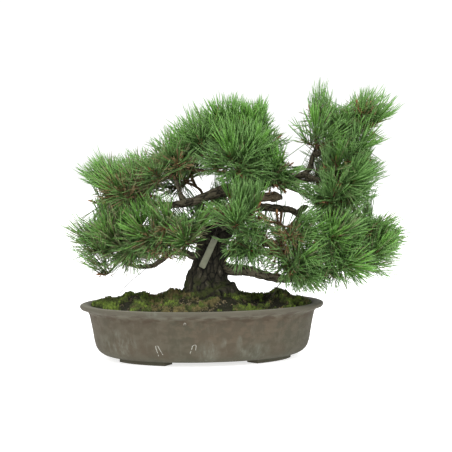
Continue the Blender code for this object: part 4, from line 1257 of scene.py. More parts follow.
def needle_mesh(name, roots, heading, bends, lengths):
    """All needles as one mesh: station s lies at root + (heading * s + bend * s * s) * length."""
    count = len(roots)
    rows = len(STATIONS)
    s = STATIONS[None, :, None]
    reach = lengths[:, None, None]
    centres = roots[:, None, :] + (heading[:, None, :] * s + bends[:, None, :] * s * s) * reach
    tips = needle_points(roots, heading, bends, lengths)
    around = directions_round(*cross_pair(heading, [0.31, 0.72, 0.62]), even_angles(3))
    radius = NEEDLE_RADIUS * THICKNESS[None, :, None, None]
    points = centres[:, :, None, :] + around[:, None, :, :] * radius
    points = np.concatenate([points.reshape(count, rows * 3, 3), tips[:, None, :]], axis=1)
    block = rows * 3 + 1
    corner = np.arange(3)
    following = (corner + 1) % 3
    quads = np.concatenate([np.stack([
        row * 3 + corner, row * 3 + following, row * 3 + 3 + following, row * 3 + 3 + corner], axis=-1)
        for row in range(rows - 1)])
    last = (rows - 1) * 3
    points_up = np.stack([last + corner, last + following, np.full(3, block - 1)], axis=-1)
    closed = np.concatenate([points_up, [[2, 1, 0]]])
    starts = np.arange(count)[:, None, None] * block
    faces = [(starts + quads).reshape(-1, 4), (starts + closed).reshape(-1, 3)]
    return mesh_from_arrays(name, to_world(points).reshape(-1, 3), faces)


print("a needle has", 6 * (len(STATIONS) - 1) + 4, "triangles")

# %% [markdown]
# ## Needle colours
# New needles near a shoot's tip are a fresh, light green, and the bright, middle and deep greens
# are also painted light and shade: needles that point up, stand high or lie out in the crown are
# lit, those on side shoots, low, inside the crown or in darker regions are deep green. Last year's
# are olive, and a few dead ones are straw brown. Each kind is its own finish with a plain base
# colour, because a pattern on so many thin blades would only blur. A slight gloss and a little
# mottling over the whole tree keep them alive.

# %% Needle finishes


def two_tone_finish(name, colour, other, roughness, scale=26.0, low=0.3, grain=0.0):
    """Two near colours mixed softly over the piece, a low gloss, and a faint grain where asked."""
    finish, tree, shader = new_finish(name, roughness, 0.4)
    mask = use_group(tree, MOTTLE, Scale=scale, Low=low, High=0.7)
    tree.links.new(mix(tree, mask, colour, other), shader.inputs["Base Color"])
    if grain:
        bump_from(tree, shader, use_group(tree, GRAIN, Scale=900.0, Coarse=1.0), grain, 0.5)
    return finish


# bright, middle and deep: lit and shaded copies of one green, painted light and shade
NEEDLE_FINISHES = {
    "bright": two_tone_finish("needle_bright", (106, 158, 66), (120, 168, 80), 0.36),
    "middle": two_tone_finish("needle_middle", (110, 154, 80), (122, 162, 92), 0.38),
    "deep": two_tone_finish("needle_deep", (99, 136, 74), (111, 146, 84), 0.42),
    "olive": two_tone_finish("needle_olive", (138, 138, 100), (118, 124, 88), 0.5),
    "brown": two_tone_finish("needle_brown", (158, 132, 94), (132, 108, 76), 0.6),
}
all_needles = [tuft_needles(number, shoot) for number, shoot in enumerate(shoots)]
needle_total = 0
for region in REGIONS:
    members = [number for number, shoot in enumerate(shoots) if shoot["region"] == region]
    joined = [np.concatenate([all_needles[number][part] for number in members]) for part in range(5)]
    for kind, kind_name in enumerate(KINDS):
        chosen = joined[4] == kind
        if not chosen.any():
            continue
        name = "needles_" + kind_name + "_" + region
        mesh = needle_mesh(name, *[joined[part][chosen] for part in range(4)])
        add_piece(name, mesh, NEEDLE_FINISHES[kind_name], "needles", *masses_of(region))
        needle_total += int(chosen.sum())
print("needles:", needle_total, "triangles:", needle_total * 10)

# %% [markdown]
# ## Buds and scales
# Every shoot ends in a pointed bud, and dry brown scales cover the stretch that bears needles.
# They give the tufts their warm hearts. A bud is a turned profile; a scale is a small
# three-sided blade, made by the same function as a needle but shorter and thicker.

# %% Buds
BUD_LENGTH = 9.0
SIDE_BUD = 0.75
SCALES_PER_SHOOT = 16
SCALE_LENGTHS = (3.5, 7.0)
BUD_PROFILE = ((0.0, 0.9), (0.15, 1.5), (0.4, 1.7), (0.65, 1.25), (0.85, 0.7), (1.0, 0.08))


def bud_points(shoot):
    """A bud: the profile turned round the shoot's axis, from the end of its core."""
    axis = np.array(shoot["axis"])
    start = np.array(shoot["route"][-1]) + axis * (shoot["core"] - 1.0)
    size = 1.0 if shoot["main"] else SIDE_BUD
    side, up = cross_pair(axis, [0.2, 0.9, 0.1])
    angles = even_angles(8)
    around = np.cos(angles)[:, None] * side + np.sin(angles)[:, None] * up
    along, radius = np.array(BUD_PROFILE).T
    centres = start + axis * (along * BUD_LENGTH * size)[:, None, None]
    return centres + around * (radius * size)[:, None, None]


buds = np.array([bud_points(shoot) for shoot in shoots])
BUD_FINISH = two_tone_finish("bud", (150, 112, 74), (120, 84, 54), 0.7)
add_piece("buds", tubes_mesh("buds", to_world(buds)), BUD_FINISH, "bark")

scale_parts = []
for number, shoot in enumerate(shoots):
    chance = np.random.default_rng(9000 + number)
    axis = np.array(shoot["axis"])
    side, up = cross_pair(axis, TUFT_HINT)
    rank = (np.arange(SCALES_PER_SHOOT) + 0.5) / SCALES_PER_SHOOT
    turn = np.arange(SCALES_PER_SHOOT) * GOLDEN_TURN
    out = side * np.cos(turn)[:, None] + up * np.sin(turn)[:, None]
    heading = axis * 0.72 + out * 0.7
    heading /= np.linalg.norm(heading, axis=1)[:, None]
    along = (shoot["core"] * (1.8 * rank - 0.8))[:, None]
    roots = np.array(shoot["route"][-1]) + axis * along + out * 0.7
    lengths = chance.uniform(*SCALE_LENGTHS, SCALES_PER_SHOOT)
    scale_parts.append((roots, heading, out * 0.2, lengths))
scales = [np.concatenate([part[index] for part in scale_parts]) for index in range(4)]
add_piece("bud_scales", needle_mesh("bud_scales", *scales), BUD_FINISH, "bark")
print("buds:", len(buds), "scales:", len(scales[0]))

# %% [markdown]
# ## The pot
# An unglazed oval pot is pressed in a mould: a flared lip, slightly hollow walls, a rounded
# foot line and four low feet. One profile is turned and pressed to an oval, with the uneven
# surface of hand-finished clay added along the normal. The drain holes are cut by a Boolean.

# %% Pot shape
RIM_LENGTH = (POT_HIGH.x - POT_LOW.x) / MM
RIM_WIDTH = (POT_HIGH.y - POT_LOW.y) / MM
POT_HEIGHT = (POT_HIGH.z - POT_LOW.z) / MM
RIM = RIM_LENGTH / 2
WALL = RIM - 13.0
BASE_HALF = 135.0
FOOT_HEIGHT = 5.0
POT_FLOOR = 13.0
POT_PROFILE = (
    (0.0, POT_FLOOR), (60.0, POT_FLOOR), (112.0, POT_FLOOR), (WALL - 32.0, POT_FLOOR + 1.0),
    (WALL - 18.0, 21.0), (WALL - 15.0, 34.0), (WALL - 10.0, 58.0), (WALL - 8.0, 72.0), (WALL - 3.5, 79.0),
    (WALL, 80.4), (WALL + 3.0, POT_HEIGHT), (RIM - 2.6, POT_HEIGHT), (RIM - 0.8, POT_HEIGHT - 0.6),
    (RIM, POT_HEIGHT - 2.4), (RIM - 0.2, POT_HEIGHT - 5.0), (RIM - 1.6, POT_HEIGHT - 6.6),
    (RIM - 5.0, POT_HEIGHT - 7.8), (WALL + 3.5, POT_HEIGHT - 9.4), (WALL + 0.6, POT_HEIGHT - 12.0),
    (WALL - 0.8, POT_HEIGHT - 15.5),
    (WALL - 2.5, 58.0), (WALL - 5.2, 44.0), (WALL - 7.0, 33.0), (WALL - 8.6, 25.0), (WALL - 10.6, 18.5),
    (WALL - 14.0, 13.2), (WALL - 19.0, 9.2), (WALL - 25.0, 6.6), (BASE_HALF - 3.0, FOOT_HEIGHT + 0.3),
    (BASE_HALF - 12.0, FOOT_HEIGHT), (90.0, FOOT_HEIGHT), (45.0, FOOT_HEIGHT), (0.0, FOOT_HEIGHT),
)
POT_COLUMNS = 288
POT_ROWS = 150


def to_pot(points):
    """Millimetres from the pot's middle to metres: scaled, then moved."""
    return np.asarray(points, dtype=float) * MM + POT_MIDDLE


def oval(half, angle):
    """A point on an oval with the rim's proportions: half * cos a, half * width share * sin a."""
    return half * np.cos(angle), half * RIM_WIDTH / RIM_LENGTH * np.sin(angle)


def smooth_profile(profile, rows):
    """The profile's corners as a smooth line of evenly spaced points."""
    line = smooth_route([(r, 0.0, z) for r, z in profile], 1.5)
    return even_stations(line, rows)[:, [0, 2]]


profile = smooth_profile(POT_PROFILE, POT_ROWS)
profile[:, 0] = np.maximum(profile[:, 0], 0.02)
angles = even_angles(POT_COLUMNS)
pot_x, pot_y = oval(profile[:, 0][:, None], angles[None, :])
pot_points = np.stack([pot_x, pot_y, np.broadcast_to(profile[:, 1][:, None], pot_x.shape)], axis=-1)
unevenness = 0.9 * (rough_noise(pot_points / 42.0, 61, 3) - 0.5)
unevenness += 0.35 * (rough_noise(pot_points / np.array([9.0, 9.0, 3.5]), 62, 3) - 0.5)
outside = np.clip((profile[:, 0] - 100.0) / 20.0, 0.0, 1.0)[:, None] * unevenness
pot_points[..., 0] += outside * np.cos(angles)
pot_points[..., 1] += outside * np.sin(angles)
pot_points[..., 2] += np.where(profile[:, 1][:, None] > 72.0, 0.5 * unevenness, 0.0)
pot_points = to_pot(pot_points)
pot_points[..., 0] = np.clip(pot_points[..., 0], POT_LOW.x, POT_HIGH.x)
print("pot: profile of", len(profile), "rows, rim", round(RIM_LENGTH), "by", round(RIM_WIDTH), "mm")

# %% [markdown]
# ## Clay
# The clay is a cool grey-brown, mottled by damp and age, and warmer in one patch in front. Under
# the lip it is darker: a mottled dark brown band on the wall and a band at the lip's underside,
# both painted shade. The lip is paler, and worn at its edge. Lime has dried on the front: pale
# washes, two inverted arcs near the foot and a small mark above them. All of these are patterns on
# the pot's own coordinates, so they stay in place. Each is a mask, a strength and a colour, laid
# over the last one in turn.

# %% Clay finish
FRONT_X = float(POT_MIDDLE[0])
PALE_LIP = (0.066, 0.074)
WORN_EDGE = (0.080, 0.083)
DAMP_FOOT = (0.004, 0.022)
UNDER_LIP = ((0.058, 0.068), (0.072, 0.080))
LIP_SHADE = ((0.071, 0.077), (0.079, 0.082))
LIME_WASHES = (
    (-0.0090, 0.022, 0.020, 0.022), (0.0360, 0.034, 0.006, 0.014), (0.0560, 0.021, 0.032, 0.014),
    (-0.0890, 0.079, 0.010, 0.006), (-0.1300, 0.030, 0.030, 0.026), (0.0120, 0.036, 0.006, 0.010),
)
LIME_ARCS = (
    (-0.0800, 0.0302, 0.0018, 0.0135, 0.0008, 0.42, 0.12, 0.85),
    (-0.0290, 0.0312, 0.0024, 0.0105, 0.0008, -0.22, 0.12, 0.5),
    (-0.0426, 0.0640, 0.0012, 0.0030, 0.0007, 0.0, 0.0, 0.6),
)


def strongest(tree, first, *masks):
    """The largest of several masks at each point."""
    for mask in masks:
        first = math_node(tree, 'MAXIMUM', first, mask)
    return first


def band(tree, value, rising, falling):
    """1 between two limits: fades in over the first pair and out over the second."""
    return product(tree, ramp(tree, value, *rising), one_less(tree, ramp(tree, value, *falling)))


def lime_patch(tree, parts, across, up, wide, high):
    """An oval patch on the pot's front that fades out, in the pot's own coordinates."""
    sideways = math_node(tree, 'DIVIDE', math_node(tree, 'SUBTRACT', parts[0], FRONT_X + across), wide)
    upward = math_node(tree, 'DIVIDE', math_node(tree, 'SUBTRACT', parts[2], up), high)
    square = math_node(tree, 'MULTIPLY_ADD', upward, upward, product(tree, sideways, sideways))
    in_front = math_node(tree, 'LESS_THAN', parts[1], 0.0)
    return product(tree, one_less(tree, ramp(tree, square, 0.1, 1.0)), in_front)


def clay_finish():
    """Unglazed clay: colour = mix(colour, paint, mask * strength), layer by layer."""
    finish, tree, shader = new_finish("clay", 0.82, 0.3)
    parts = object_place(tree)[1]
    up = parts[2]
    broad = use_group(tree, MOTTLE, Scale=16.0, Low=0.36, High=0.66)
    blotch = use_group(tree, MOTTLE, Scale=60.0, Low=0.42, High=0.62, Stretch=1.6)
    speck = use_group(tree, MOTTLE, Scale=320.0, Low=0.62, High=0.74)
    streak = use_group(tree, MOTTLE, Scale=150.0, Low=0.5, High=0.75, Stretch=0.22)
    # mottling for the painted shade under the lip
    mottled_lip_shade = use_group(tree, MOTTLE, Scale=55.0, Low=0.40, High=0.60, Stretch=3.0)
    fine_veil = use_group(tree, MOTTLE, Scale=240.0, Low=0.48, High=0.66, Stretch=0.3)
    smear = use_group(tree, MOTTLE, Scale=70.0, Low=0.38, High=0.62, Stretch=0.6)
    veil = math_node(tree, 'MULTIPLY_ADD', fine_veil, 0.5, product(tree, smear, 0.5))
    warm = product(tree, lime_patch(tree, parts, 0.03, 0.058, 0.13, 0.03), ramp(tree, blotch, 0.0, 1.0))
    wash = strongest(tree, *[lime_patch(tree, parts, *patch) for patch in LIME_WASHES])
    lime = strongest(tree, *[
        use_group(
            tree, LIME_ARC, Across=FRONT_X + across, Up=height, Radius=radius, Leg=leg, Width=width,
            Skew=skew, Spread=spread, Right=right)
        for across, height, radius, leg, width, skew, spread, right in LIME_ARCS])
    layers = (
        (warm, 0.5, (84, 66, 48)), (blotch, 0.4, (89, 84, 71)), (streak, 0.35, (93, 91, 78)),
        (ramp(tree, up, *PALE_LIP), 0.7, (106, 104, 91)),
        # painted shade: a mottled dark brown band on the wall under the lip
        (product(tree, mottled_lip_shade, band(tree, up, *UNDER_LIP)), 0.7, (60, 48, 35)),
        # painted shade at the lip's underside
        (band(tree, up, *LIP_SHADE), 0.45, (56, 50, 40)),
        (ramp(tree, up, *WORN_EDGE), 0.7, (148, 145, 130)),
        (one_less(tree, ramp(tree, up, *DAMP_FOOT)), 0.45, (72, 74, 60)),
        (product(tree, wash, veil), 0.34, (122, 127, 115)),
        (lime, 0.8, (180, 180, 170)), (speck, 0.35, (78, 72, 60)),
    )
    colour = mix(tree, broad, (74, 66, 53), (67, 64, 51))
    for mask, strength, paint in layers:
        colour = mix(tree, product(tree, mask, strength), colour, paint)
    tree.links.new(colour, shader.inputs["Base Color"])
    bump_from(tree, shader, use_group(tree, GRAIN, Scale=1400.0, Coarse=1.2), 0.0003, 0.7)
    return finish


CLAY = clay_finish()
pot = add_piece("pot_clay", tubes_mesh("pot_clay", pot_points, turned=True), CLAY, "clay", "pot")
print("clay:", len(LIME_WASHES), "pale washes and", len(LIME_ARCS), "lime marks")

# %% Drain holes and feet
DRAIN_RADIUS = 11.0
DRAIN_PLACE = 62.0
FOOT_FROM_DEG = 18.0
FOOT_TO_DEG = 60.0
FOOT_OUTER = 0.985
FOOT_INNER = 0.80
FOOT_ROUNDING = 1.0


def cut_drains(piece):
    """Cuts the two round drain holes through the pot's floor."""
    for side in (-1, 1):
        hole = bmesh.new()
        place = Matrix.Translation((POT_MIDDLE[0] + side * DRAIN_PLACE * MM, POT_MIDDLE[1], 0.01))
        bmesh.ops.create_cone(
            hole, cap_ends=True, segments=40, radius1=DRAIN_RADIUS * MM, radius2=DRAIN_RADIUS * MM,
            depth=0.03, matrix=place)
        mesh = bpy.data.meshes.new("drain")
        hole.to_mesh(mesh)
        hole.free()
        tool = bpy.data.objects.new("drain", mesh)
        bpy.context.scene.collection.objects.link(tool)
        cut = piece.modifiers.new("drain", 'BOOLEAN')
        cut.operation = 'DIFFERENCE'
        cut.object = tool
        cut.solver = 'EXACT'
        graph = bpy.context.evaluated_depsgraph_get()
        done = bpy.data.meshes.new_from_object(piece.evaluated_get(graph))
        piece.modifiers.clear()
        piece.data = done
        bpy.data.objects.remove(tool)


def foot_piece(quarter):
    """A low foot: a sector of the base's oval, with its edges rounded by a bevel."""
    even = quarter % 2 == 0
    start = math.radians(FOOT_FROM_DEG if even else 90.0 - FOOT_TO_DEG) + quarter * math.pi / 2
    end = math.radians(FOOT_TO_DEG if even else 90.0 - FOOT_FROM_DEG) + quarter * math.pi / 2
    sweep = np.linspace(start, end, 26)
    outer = np.stack(oval(BASE_HALF * FOOT_OUTER, sweep), axis=-1)
    inner = np.stack(oval(BASE_HALF * FOOT_INNER, sweep[::-1]), axis=-1)
    outline = np.concatenate([outer, inner])
    heights = np.array([0.0, FOOT_HEIGHT + 2.5])
    rings = np.stack([
        np.concatenate([outline, np.full((len(outline), 1), height)], axis=1) for height in heights])
    mesh = tubes_mesh("pot_foot", to_pot(rings), smooth=False)
    piece = add_piece("pot_foot_" + str(quarter + 1), mesh, CLAY, "clay")
    bevel = piece.modifiers.new("rounded", 'BEVEL')
    bevel.width = FOOT_ROUNDING * MM
    bevel.segments = 3
    bevel.limit_method = 'ANGLE'
    return piece


cut_drains(pot)
feet = [foot_piece(quarter) for quarter in range(4)]
print("pot: two drain holes and", len(feet), "feet")

# %% [markdown]
# ## Soil and moss
# The mound rises from the rim to the trunk's foot. Cushions of moss sit on it, some bright,
# some ochre and dry, with dark soil between and painted shade darkening the hollows. The surface
# is a height over the pot's oval: broad lumps, shallow troughs from front to back where the soil
# has sunk, then cushions as domes round scattered points, then crumbs. Moss fibres and grains of
# soil stand on it as small meshes of their own.

# %% Mound
SOIL_LEVEL = 95.0
SOIL_EDGE = 83.5
PLATEAU = 52.0
SOIL_WALL = WALL - 3.0
SOIL_ROOT = WALL - 11.0
MOSS_LUMPS = (
    (-44.0, 12.0, 17.0, 5.0), (-94.0, 10.0, 22.0, 6.0), (-150.0, -6.0, 16.0, 3.0),
    (66.0, 12.0, 18.0, 3.0), (120.0, 18.0, 24.0, 9.0), (150.0, -8.0, 16.0, 4.0),
    (-122.0, -42.0, 19.0, 4.5), (-84.0, -64.0, 20.0, 5.0), (-48.0, -84.0, 17.0, 4.0),
    (-22.0, -60.0, 19.0, 6.0), (14.0, -92.0, 17.0, 3.5), (38.0, -66.0, 21.0, 6.0),
    (78.0, -78.0, 18.0, 4.0), (104.0, -46.0, 20.0, 5.5), (-104.0, 52.0, 20.0, 5.0),
    (-58.0, 84.0, 21.0, 5.0), (0.0, 80.0, 21.0, 5.5), (54.0, 86.0, 19.0, 4.5),
    (98.0, 62.0, 21.0, 5.5), (-60.0, 44.0, 18.0, 4.0)
)
SOIL_TROUGHS = (
    (-71.0, 14.0, 6.5), (84.0, 21.0, 8.0), (60.0, 9.0, 3.0), (-126.0, 10.0, 2.5), (136.0, 9.0, 2.5))
TROUGH_SLANT = 0.158
CUSHION = 16.0
SOIL_FALL = 1.35
SOIL_SETTLING = 2.5
SETTLED_FROM = 45.0
SETTLED_OVER = 25.0
SMALL_CUSHION = 5.5
CUSHION_HEIGHTS = (2.2, 4.6)
SMALL_CUSHION_HEIGHT = 2.0
TRUNK_FOOT = to_world((FOOT_U, 0.0, 0.0))
FOOT_X, FOOT_Y = (TRUNK_FOOT[:2] - POT_MIDDLE[:2]) / MM


def soil_surface(x, y):
    """Height, moss share, tint and relief of the mound at points in millimetres from the middle."""
    edge_x, edge_y = oval(SOIL_WALL, np.arctan2(y / RIM_WIDTH, x / RIM_LENGTH))
    out = np.hypot(x - FOOT_X, y - FOOT_Y)
    edge = np.hypot(edge_x - FOOT_X, edge_y - FOOT_Y)
    share = np.clip((out - PLATEAU) / (edge - PLATEAU), 0.0, 1.0)
    height = SOIL_LEVEL - 1.3 - (SOIL_LEVEL - 1.0 - SOIL_EDGE) * share ** SOIL_FALL
    for lump_x, lump_y, size, lift in MOSS_LUMPS:
        lump = lift * np.exp(-((x - lump_x) ** 2 + (y - lump_y) ** 2) / size ** 2)
        height = height + lump * (1 - share ** 4)
    height = height - SOIL_SETTLING * np.clip((out - SETTLED_FROM) / SETTLED_OVER, 0.0, 1.0)
    for middle, size, depth in SOIL_TROUGHS:
        height = height - depth * np.exp(-((x - TROUGH_SLANT * y - middle) / size) ** 2)
    flat = np.stack([x, y, np.zeros_like(x)], axis=-1)
    nearest, second, owner = cells(flat / CUSHION, 71)
    small, small_second, small_owner = cells(flat / SMALL_CUSHION, 72)
    moss = np.clip((rough_noise(flat / 20.0, 73, 3) - 0.42) * 8.0, 0.0, 1.0)
    moss = moss * np.clip((small_second - small) / 0.25, 0.0, 1.0)
    dome = np.sqrt(np.clip(1.0 - (nearest / 0.8) ** 2, 0.0, 1.0))
    small_dome = np.sqrt(np.clip(1.0 - small ** 2, 0.0, 1.0))
    cushion = (CUSHION_HEIGHTS[0] + CUSHION_HEIGHTS[1] * owner) * dome
    relief = moss * (cushion + SMALL_CUSHION_HEIGHT * small_dome)
    relief = relief + 3.0 * (rough_noise(flat / 7.0, 74, 4) - 0.5)
    relief = relief + 1.5 * (rough_noise(flat / 2.2, 75, 2) - 0.5)
    tint = 0.45 * cells(flat / CUSHION, 77)[2] + 0.2 * small_owner + 0.25 * rough_noise(flat / 5.0, 76, 2)
    tint = tint + 0.24 * np.exp(-((x - TROUGH_SLANT * y + 24.0) / 62.0) ** 2) - 0.04
    return height + relief - 2.0, moss, tint, np.clip((relief + 1.0) / 7.5, 0.0, 1.0)


print("the mound falls from about", SOIL_LEVEL, "to", SOIL_EDGE, "mm above the table")

# %% Mound grid
SOIL_COLUMNS = 420
SOIL_ROWS = 150
share = np.linspace(0.0, 1.0, SOIL_ROWS)[:, None] ** 0.8
sweep = even_angles(SOIL_COLUMNS)[None, :]
soil_x, soil_y = oval(np.maximum(share, 0.0005) * SOIL_WALL, sweep)
soil_z, moss_share, moss_tint, soil_relief = soil_surface(soil_x, soil_y)
soil_z = np.where(share > 0.99, soil_z - 1.5, soil_z)
top = np.stack([soil_x, soil_y, soil_z], axis=-1)
skirt = np.stack([*oval(np.full_like(sweep, SOIL_ROOT), sweep), np.full_like(sweep, 60.0)], axis=-1)
soil_points = np.concatenate([top, skirt])[::-1]
soil_mesh = tubes_mesh("soil_mound", to_pot(soil_points))
for attribute, values in (("moss", moss_share), ("tint", moss_tint), ("relief", soil_relief)):
    add_attribute(soil_mesh, attribute, np.concatenate([values, values[-1:]])[::-1])
print("mound:", soil_points.shape[:2], "moss covers", round(float((moss_share > 0.5).mean()), 2))

# %% Ground finish
MOSS_COLOURS = {
    "bright": ((122, 142, 56), (82, 102, 42)), "dull": ((92, 104, 50), (62, 72, 36)),
    "ochre": ((120, 110, 70), (90, 82, 52))}
MOSS_LIMITS = {"bright": (-1.0, 0.38), "dull": (0.38, 0.62), "ochre": (0.62, 2.0)}


def ground_finish():
    """Dark crumbly soil and moss in three tints, with painted shade darkening every hollow."""
    finish, tree, shader = new_finish("ground", 0.95, 0.2)
    moss = attribute_value(tree, "moss")
    tint = attribute_value(tree, "tint")
    crumbs = use_group(tree, MOTTLE, Scale=260.0, Low=0.42, High=0.64)
    soil = mix(tree, crumbs, (34, 33, 23), (66, 61, 45))
    tuft = use_group(tree, MOTTLE, Scale=420.0, Low=0.36, High=0.64)
    colours = [mix(tree, tuft, light, dark) for light, dark in MOSS_COLOURS.values()]
    green = mix(tree, ramp(tree, tint, 0.34, 0.42), colours[0], colours[1])
    green = mix(tree, ramp(tree, tint, 0.58, 0.66), green, colours[2])
    surface = mix(tree, moss, soil, green)
    # painted shade: where the relief is low the colour darkens towards (34, 36, 22)
    depth = ramp(tree, attribute_value(tree, "relief"), 0.0, 0.6)
    tree.links.new(mix(tree, depth, (34, 36, 22), surface), shader.inputs["Base Color"])
    bump_from(tree, shader, use_group(tree, GRAIN, Scale=1100.0, Coarse=1.5), 0.0012, 1.0)
    return finish


GROUND = ground_finish()
add_piece("soil_mound", soil_mesh, GROUND, "ground", "soil")
print("ground finish has", len(GROUND.node_tree.nodes), "nodes")

# %% Moss fibres
MOSS_FIBRES = 34000
CLEAR_OF_TRUNK = 38.0


def scatter_on_soil(count, seed):
    """Random places on the mound, even by area, away from the trunk and inside the wall."""
    chance = np.random.default_rng(seed)
    reach = SOIL_WALL * 0.985 * np.sqrt(chance.uniform(0.0, 1.0, count))
    x, y = oval(reach, chance.uniform(0, 2 * np.pi, count))
    clear = np.hypot(x - FOOT_X, y - FOOT_Y) > CLEAR_OF_TRUNK
    x, y = x[clear], y[clear]
    z, moss, tint, relief = soil_surface(x, y)
    return np.stack([x, y, z], axis=-1), moss, tint, chance


def blades(name, roots, heading, lengths, radius):
    """Small three-sided spikes: a triangle at the root and one point, as one mesh."""
    around = directions_round(*cross_pair(heading, [0.3, 0.8, 0.2]), even_angles(3))
    base = roots[:, None, :] + around * radius
    points = np.concatenate([base, (roots + heading * lengths[:, None])[:, None, :]], axis=1)
    block = np.array([[0, 1, 3], [1, 2, 3], [2, 0, 3], [2, 1, 0]])
    faces = (np.arange(len(roots))[:, None, None] * 4 + block).reshape(-1, 3)
    return mesh_from_arrays(name, to_pot(points).reshape(-1, 3), [faces], smooth=False)


places, moss, tint, chance = scatter_on_soil(MOSS_FIBRES, 81)
heading = np.array([0.0, 0.0, 1.0]) + chance.normal(0.0, 0.6, places.shape)
heading /= np.linalg.norm(heading, axis=1)[:, None]
fibre_lengths = chance.uniform(1.5, 4.2, len(places))
MOSS_FINISHES = {
    kind: two_tone_finish("moss_" + kind, *colours, 0.9) for kind, colours in MOSS_COLOURS.items()}
for kind, (low, high) in MOSS_LIMITS.items():
    chosen = (moss > 0.5) & (tint > low) & (tint <= high)
    mesh = blades(
        "moss_" + kind, places[chosen] - np.array([0, 0, 0.5]), heading[chosen], fibre_lengths[chosen], 0.42)
    add_piece("moss_" + kind, mesh, MOSS_FINISHES[kind], "ground")
print("moss fibres:", int((moss > 0.5).sum()), "on", round(SOIL_WALL * 2), "mm of mound")

# %% Grains of soil
SOIL_GRAINS = 3400
GRAIN_CORNERS = np.array([[1, 0, 0], [0, 1, 0], [-1, 0, 0], [0, -1, 0], [0, 0, 1], [0, 0, -1]], dtype=float)
GRAIN_FACES = np.array([
    [0, 1, 4], [1, 2, 4], [2, 3, 4], [3, 0, 4], [1, 0, 5], [2, 1, 5], [3, 2, 5], [0, 3, 5]])


def grain_mesh(name, centres, sizes, chance):
    """Crumbs of soil: eight-sided lumps with each corner pushed in or out."""
    corners = GRAIN_CORNERS[None] * sizes[:, None, None] * chance.uniform(0.6, 1.2, (len(centres), 6, 1))
    points = centres[:, None, :] + corners + chance.normal(0.0, 0.12, corners.shape) * sizes[:, None, None]
    faces = (np.arange(len(centres))[:, None, None] * 6 + GRAIN_FACES).reshape(-1, 3)
    return mesh_from_arrays(name, to_pot(points).reshape(-1, 3), [faces], smooth=False)


places, moss, tint, chance = scatter_on_soil(SOIL_GRAINS, 82)
bare = moss < 0.5
sizes = chance.uniform(0.6, 2.0, len(places))
for kind, colours, chosen in (
        ("dark", ((50, 45, 35), (34, 31, 24)), bare & (tint < 0.62)),
        ("tan", ((116, 104, 80), (88, 78, 58)), bare & (tint >= 0.62))):
    mesh = grain_mesh("soil_grains_" + kind, places[chosen], sizes[chosen], chance)
    finish = two_tone_finish("grain_" + kind, *colours, 0.95)
    add_piece("soil_grains_" + kind, mesh, finish, "ground")
print("grains of soil:", int(bare.sum()))

# %% [markdown]
# ## Label strip and bracing wires
# A narrow weathered plastic strip hangs by a thread against the trunk. It stays plain. Two thin
# wires brace low boughs to the soil, as on many bonsai in training.

# %% Label strip
TAG_SIZE = (9.6, 1.0, 50.0)
TAG_CENTRE = (10.5, -27.2, 157.0)
TAG_LEAN_DEG = 25.0
TAG_BOW = 1.6
WORN = {"scale": 90.0, "low": 0.35, "grain": 0.0001}


def strip_points():
    """The strip as a grid: rows along it, a flat rounded section, bowed along its length."""
    rows, columns = 30, 24
    along = np.linspace(-0.5, 0.5, rows)
    angle = even_angles(columns)
    end = np.clip((0.5 - np.abs(along)) / 0.02, 0.6, 1.0) ** 0.5
    across = np.sign(np.cos(angle)) * np.abs(np.cos(angle)) ** 0.25 * TAG_SIZE[0] / 2
    thick = np.sign(np.sin(angle)) * np.abs(np.sin(angle)) ** 0.7 * TAG_SIZE[1] / 2
    x = across[None, :] * end[:, None]
    y = thick[None, :] + TAG_BOW * (0.25 - along[:, None] ** 2)
    z = np.broadcast_to(along[:, None] * TAG_SIZE[2], x.shape)
    lean = np.array(Matrix.Rotation(math.radians(TAG_LEAN_DEG), 3, 'Y'))
    return np.stack([x, y, z], axis=-1) @ lean.T + np.array(TAG_CENTRE)


STRIP_FINISH = two_tone_finish("weathered_plastic", (134, 136, 114), (106, 109, 90), 0.55, **WORN)
strip_mesh = tubes_mesh("label_strip", to_world(strip_points()))
add_piece("label_strip", strip_mesh, STRIP_FINISH, "plastic", "label_tag")
print("strip:", TAG_SIZE, "mm, leaning", TAG_LEAN_DEG, "degrees")

# %% Thread and wires
WIRE_ROUTES = {
    "thread": (((18.6, -27.6, 174.5), (22, -30, 190), (27, -34, 205), (31, -38, 217)), 0.35),
    "brace_wire_left": (((-79, -12, 135), (-92, -16, 124), (-107, -20, 112), (-120, -24, 97)), 0.45),
    "brace_wire_right": (((117, -13, 112), (111, -20, 106), (106, -26, 98), (102, -30, 90)), 0.7),
}
WIRE_FINISH = two_tone_finish("dark_wire", (66, 60, 52), (48, 44, 38), 0.6, **WORN)


def wire_mesh(name, route, radius):
    """A thin round tube along a smooth route."""
    centres = even_stations(smooth_route(route, 3.0), 24)
    sides, ups, tangents = cross_frames(centres)
    points = centres[:, None, :] + directions_round(sides, ups, even_angles(8)) * radius
    return tubes_mesh(name, to_world(points))


for name, (route, radius) in WIRE_ROUTES.items():
    add_piece(name, wire_mesh(name, route, radius), WIRE_FINISH, "plastic")
print("thin wires:", len(WIRE_ROUTES))

# %% [markdown]
# ## Studio
# The plant stands on a plain white floor against white, under broad soft lights: a large one
# overhead and slightly in front, and a weaker one on each side. The camera looks from a little
# above the rim through a long lens, turned so that the tree's front faces it.

# %% Floor and surroundings
FLOOR_SIZE = 12.0


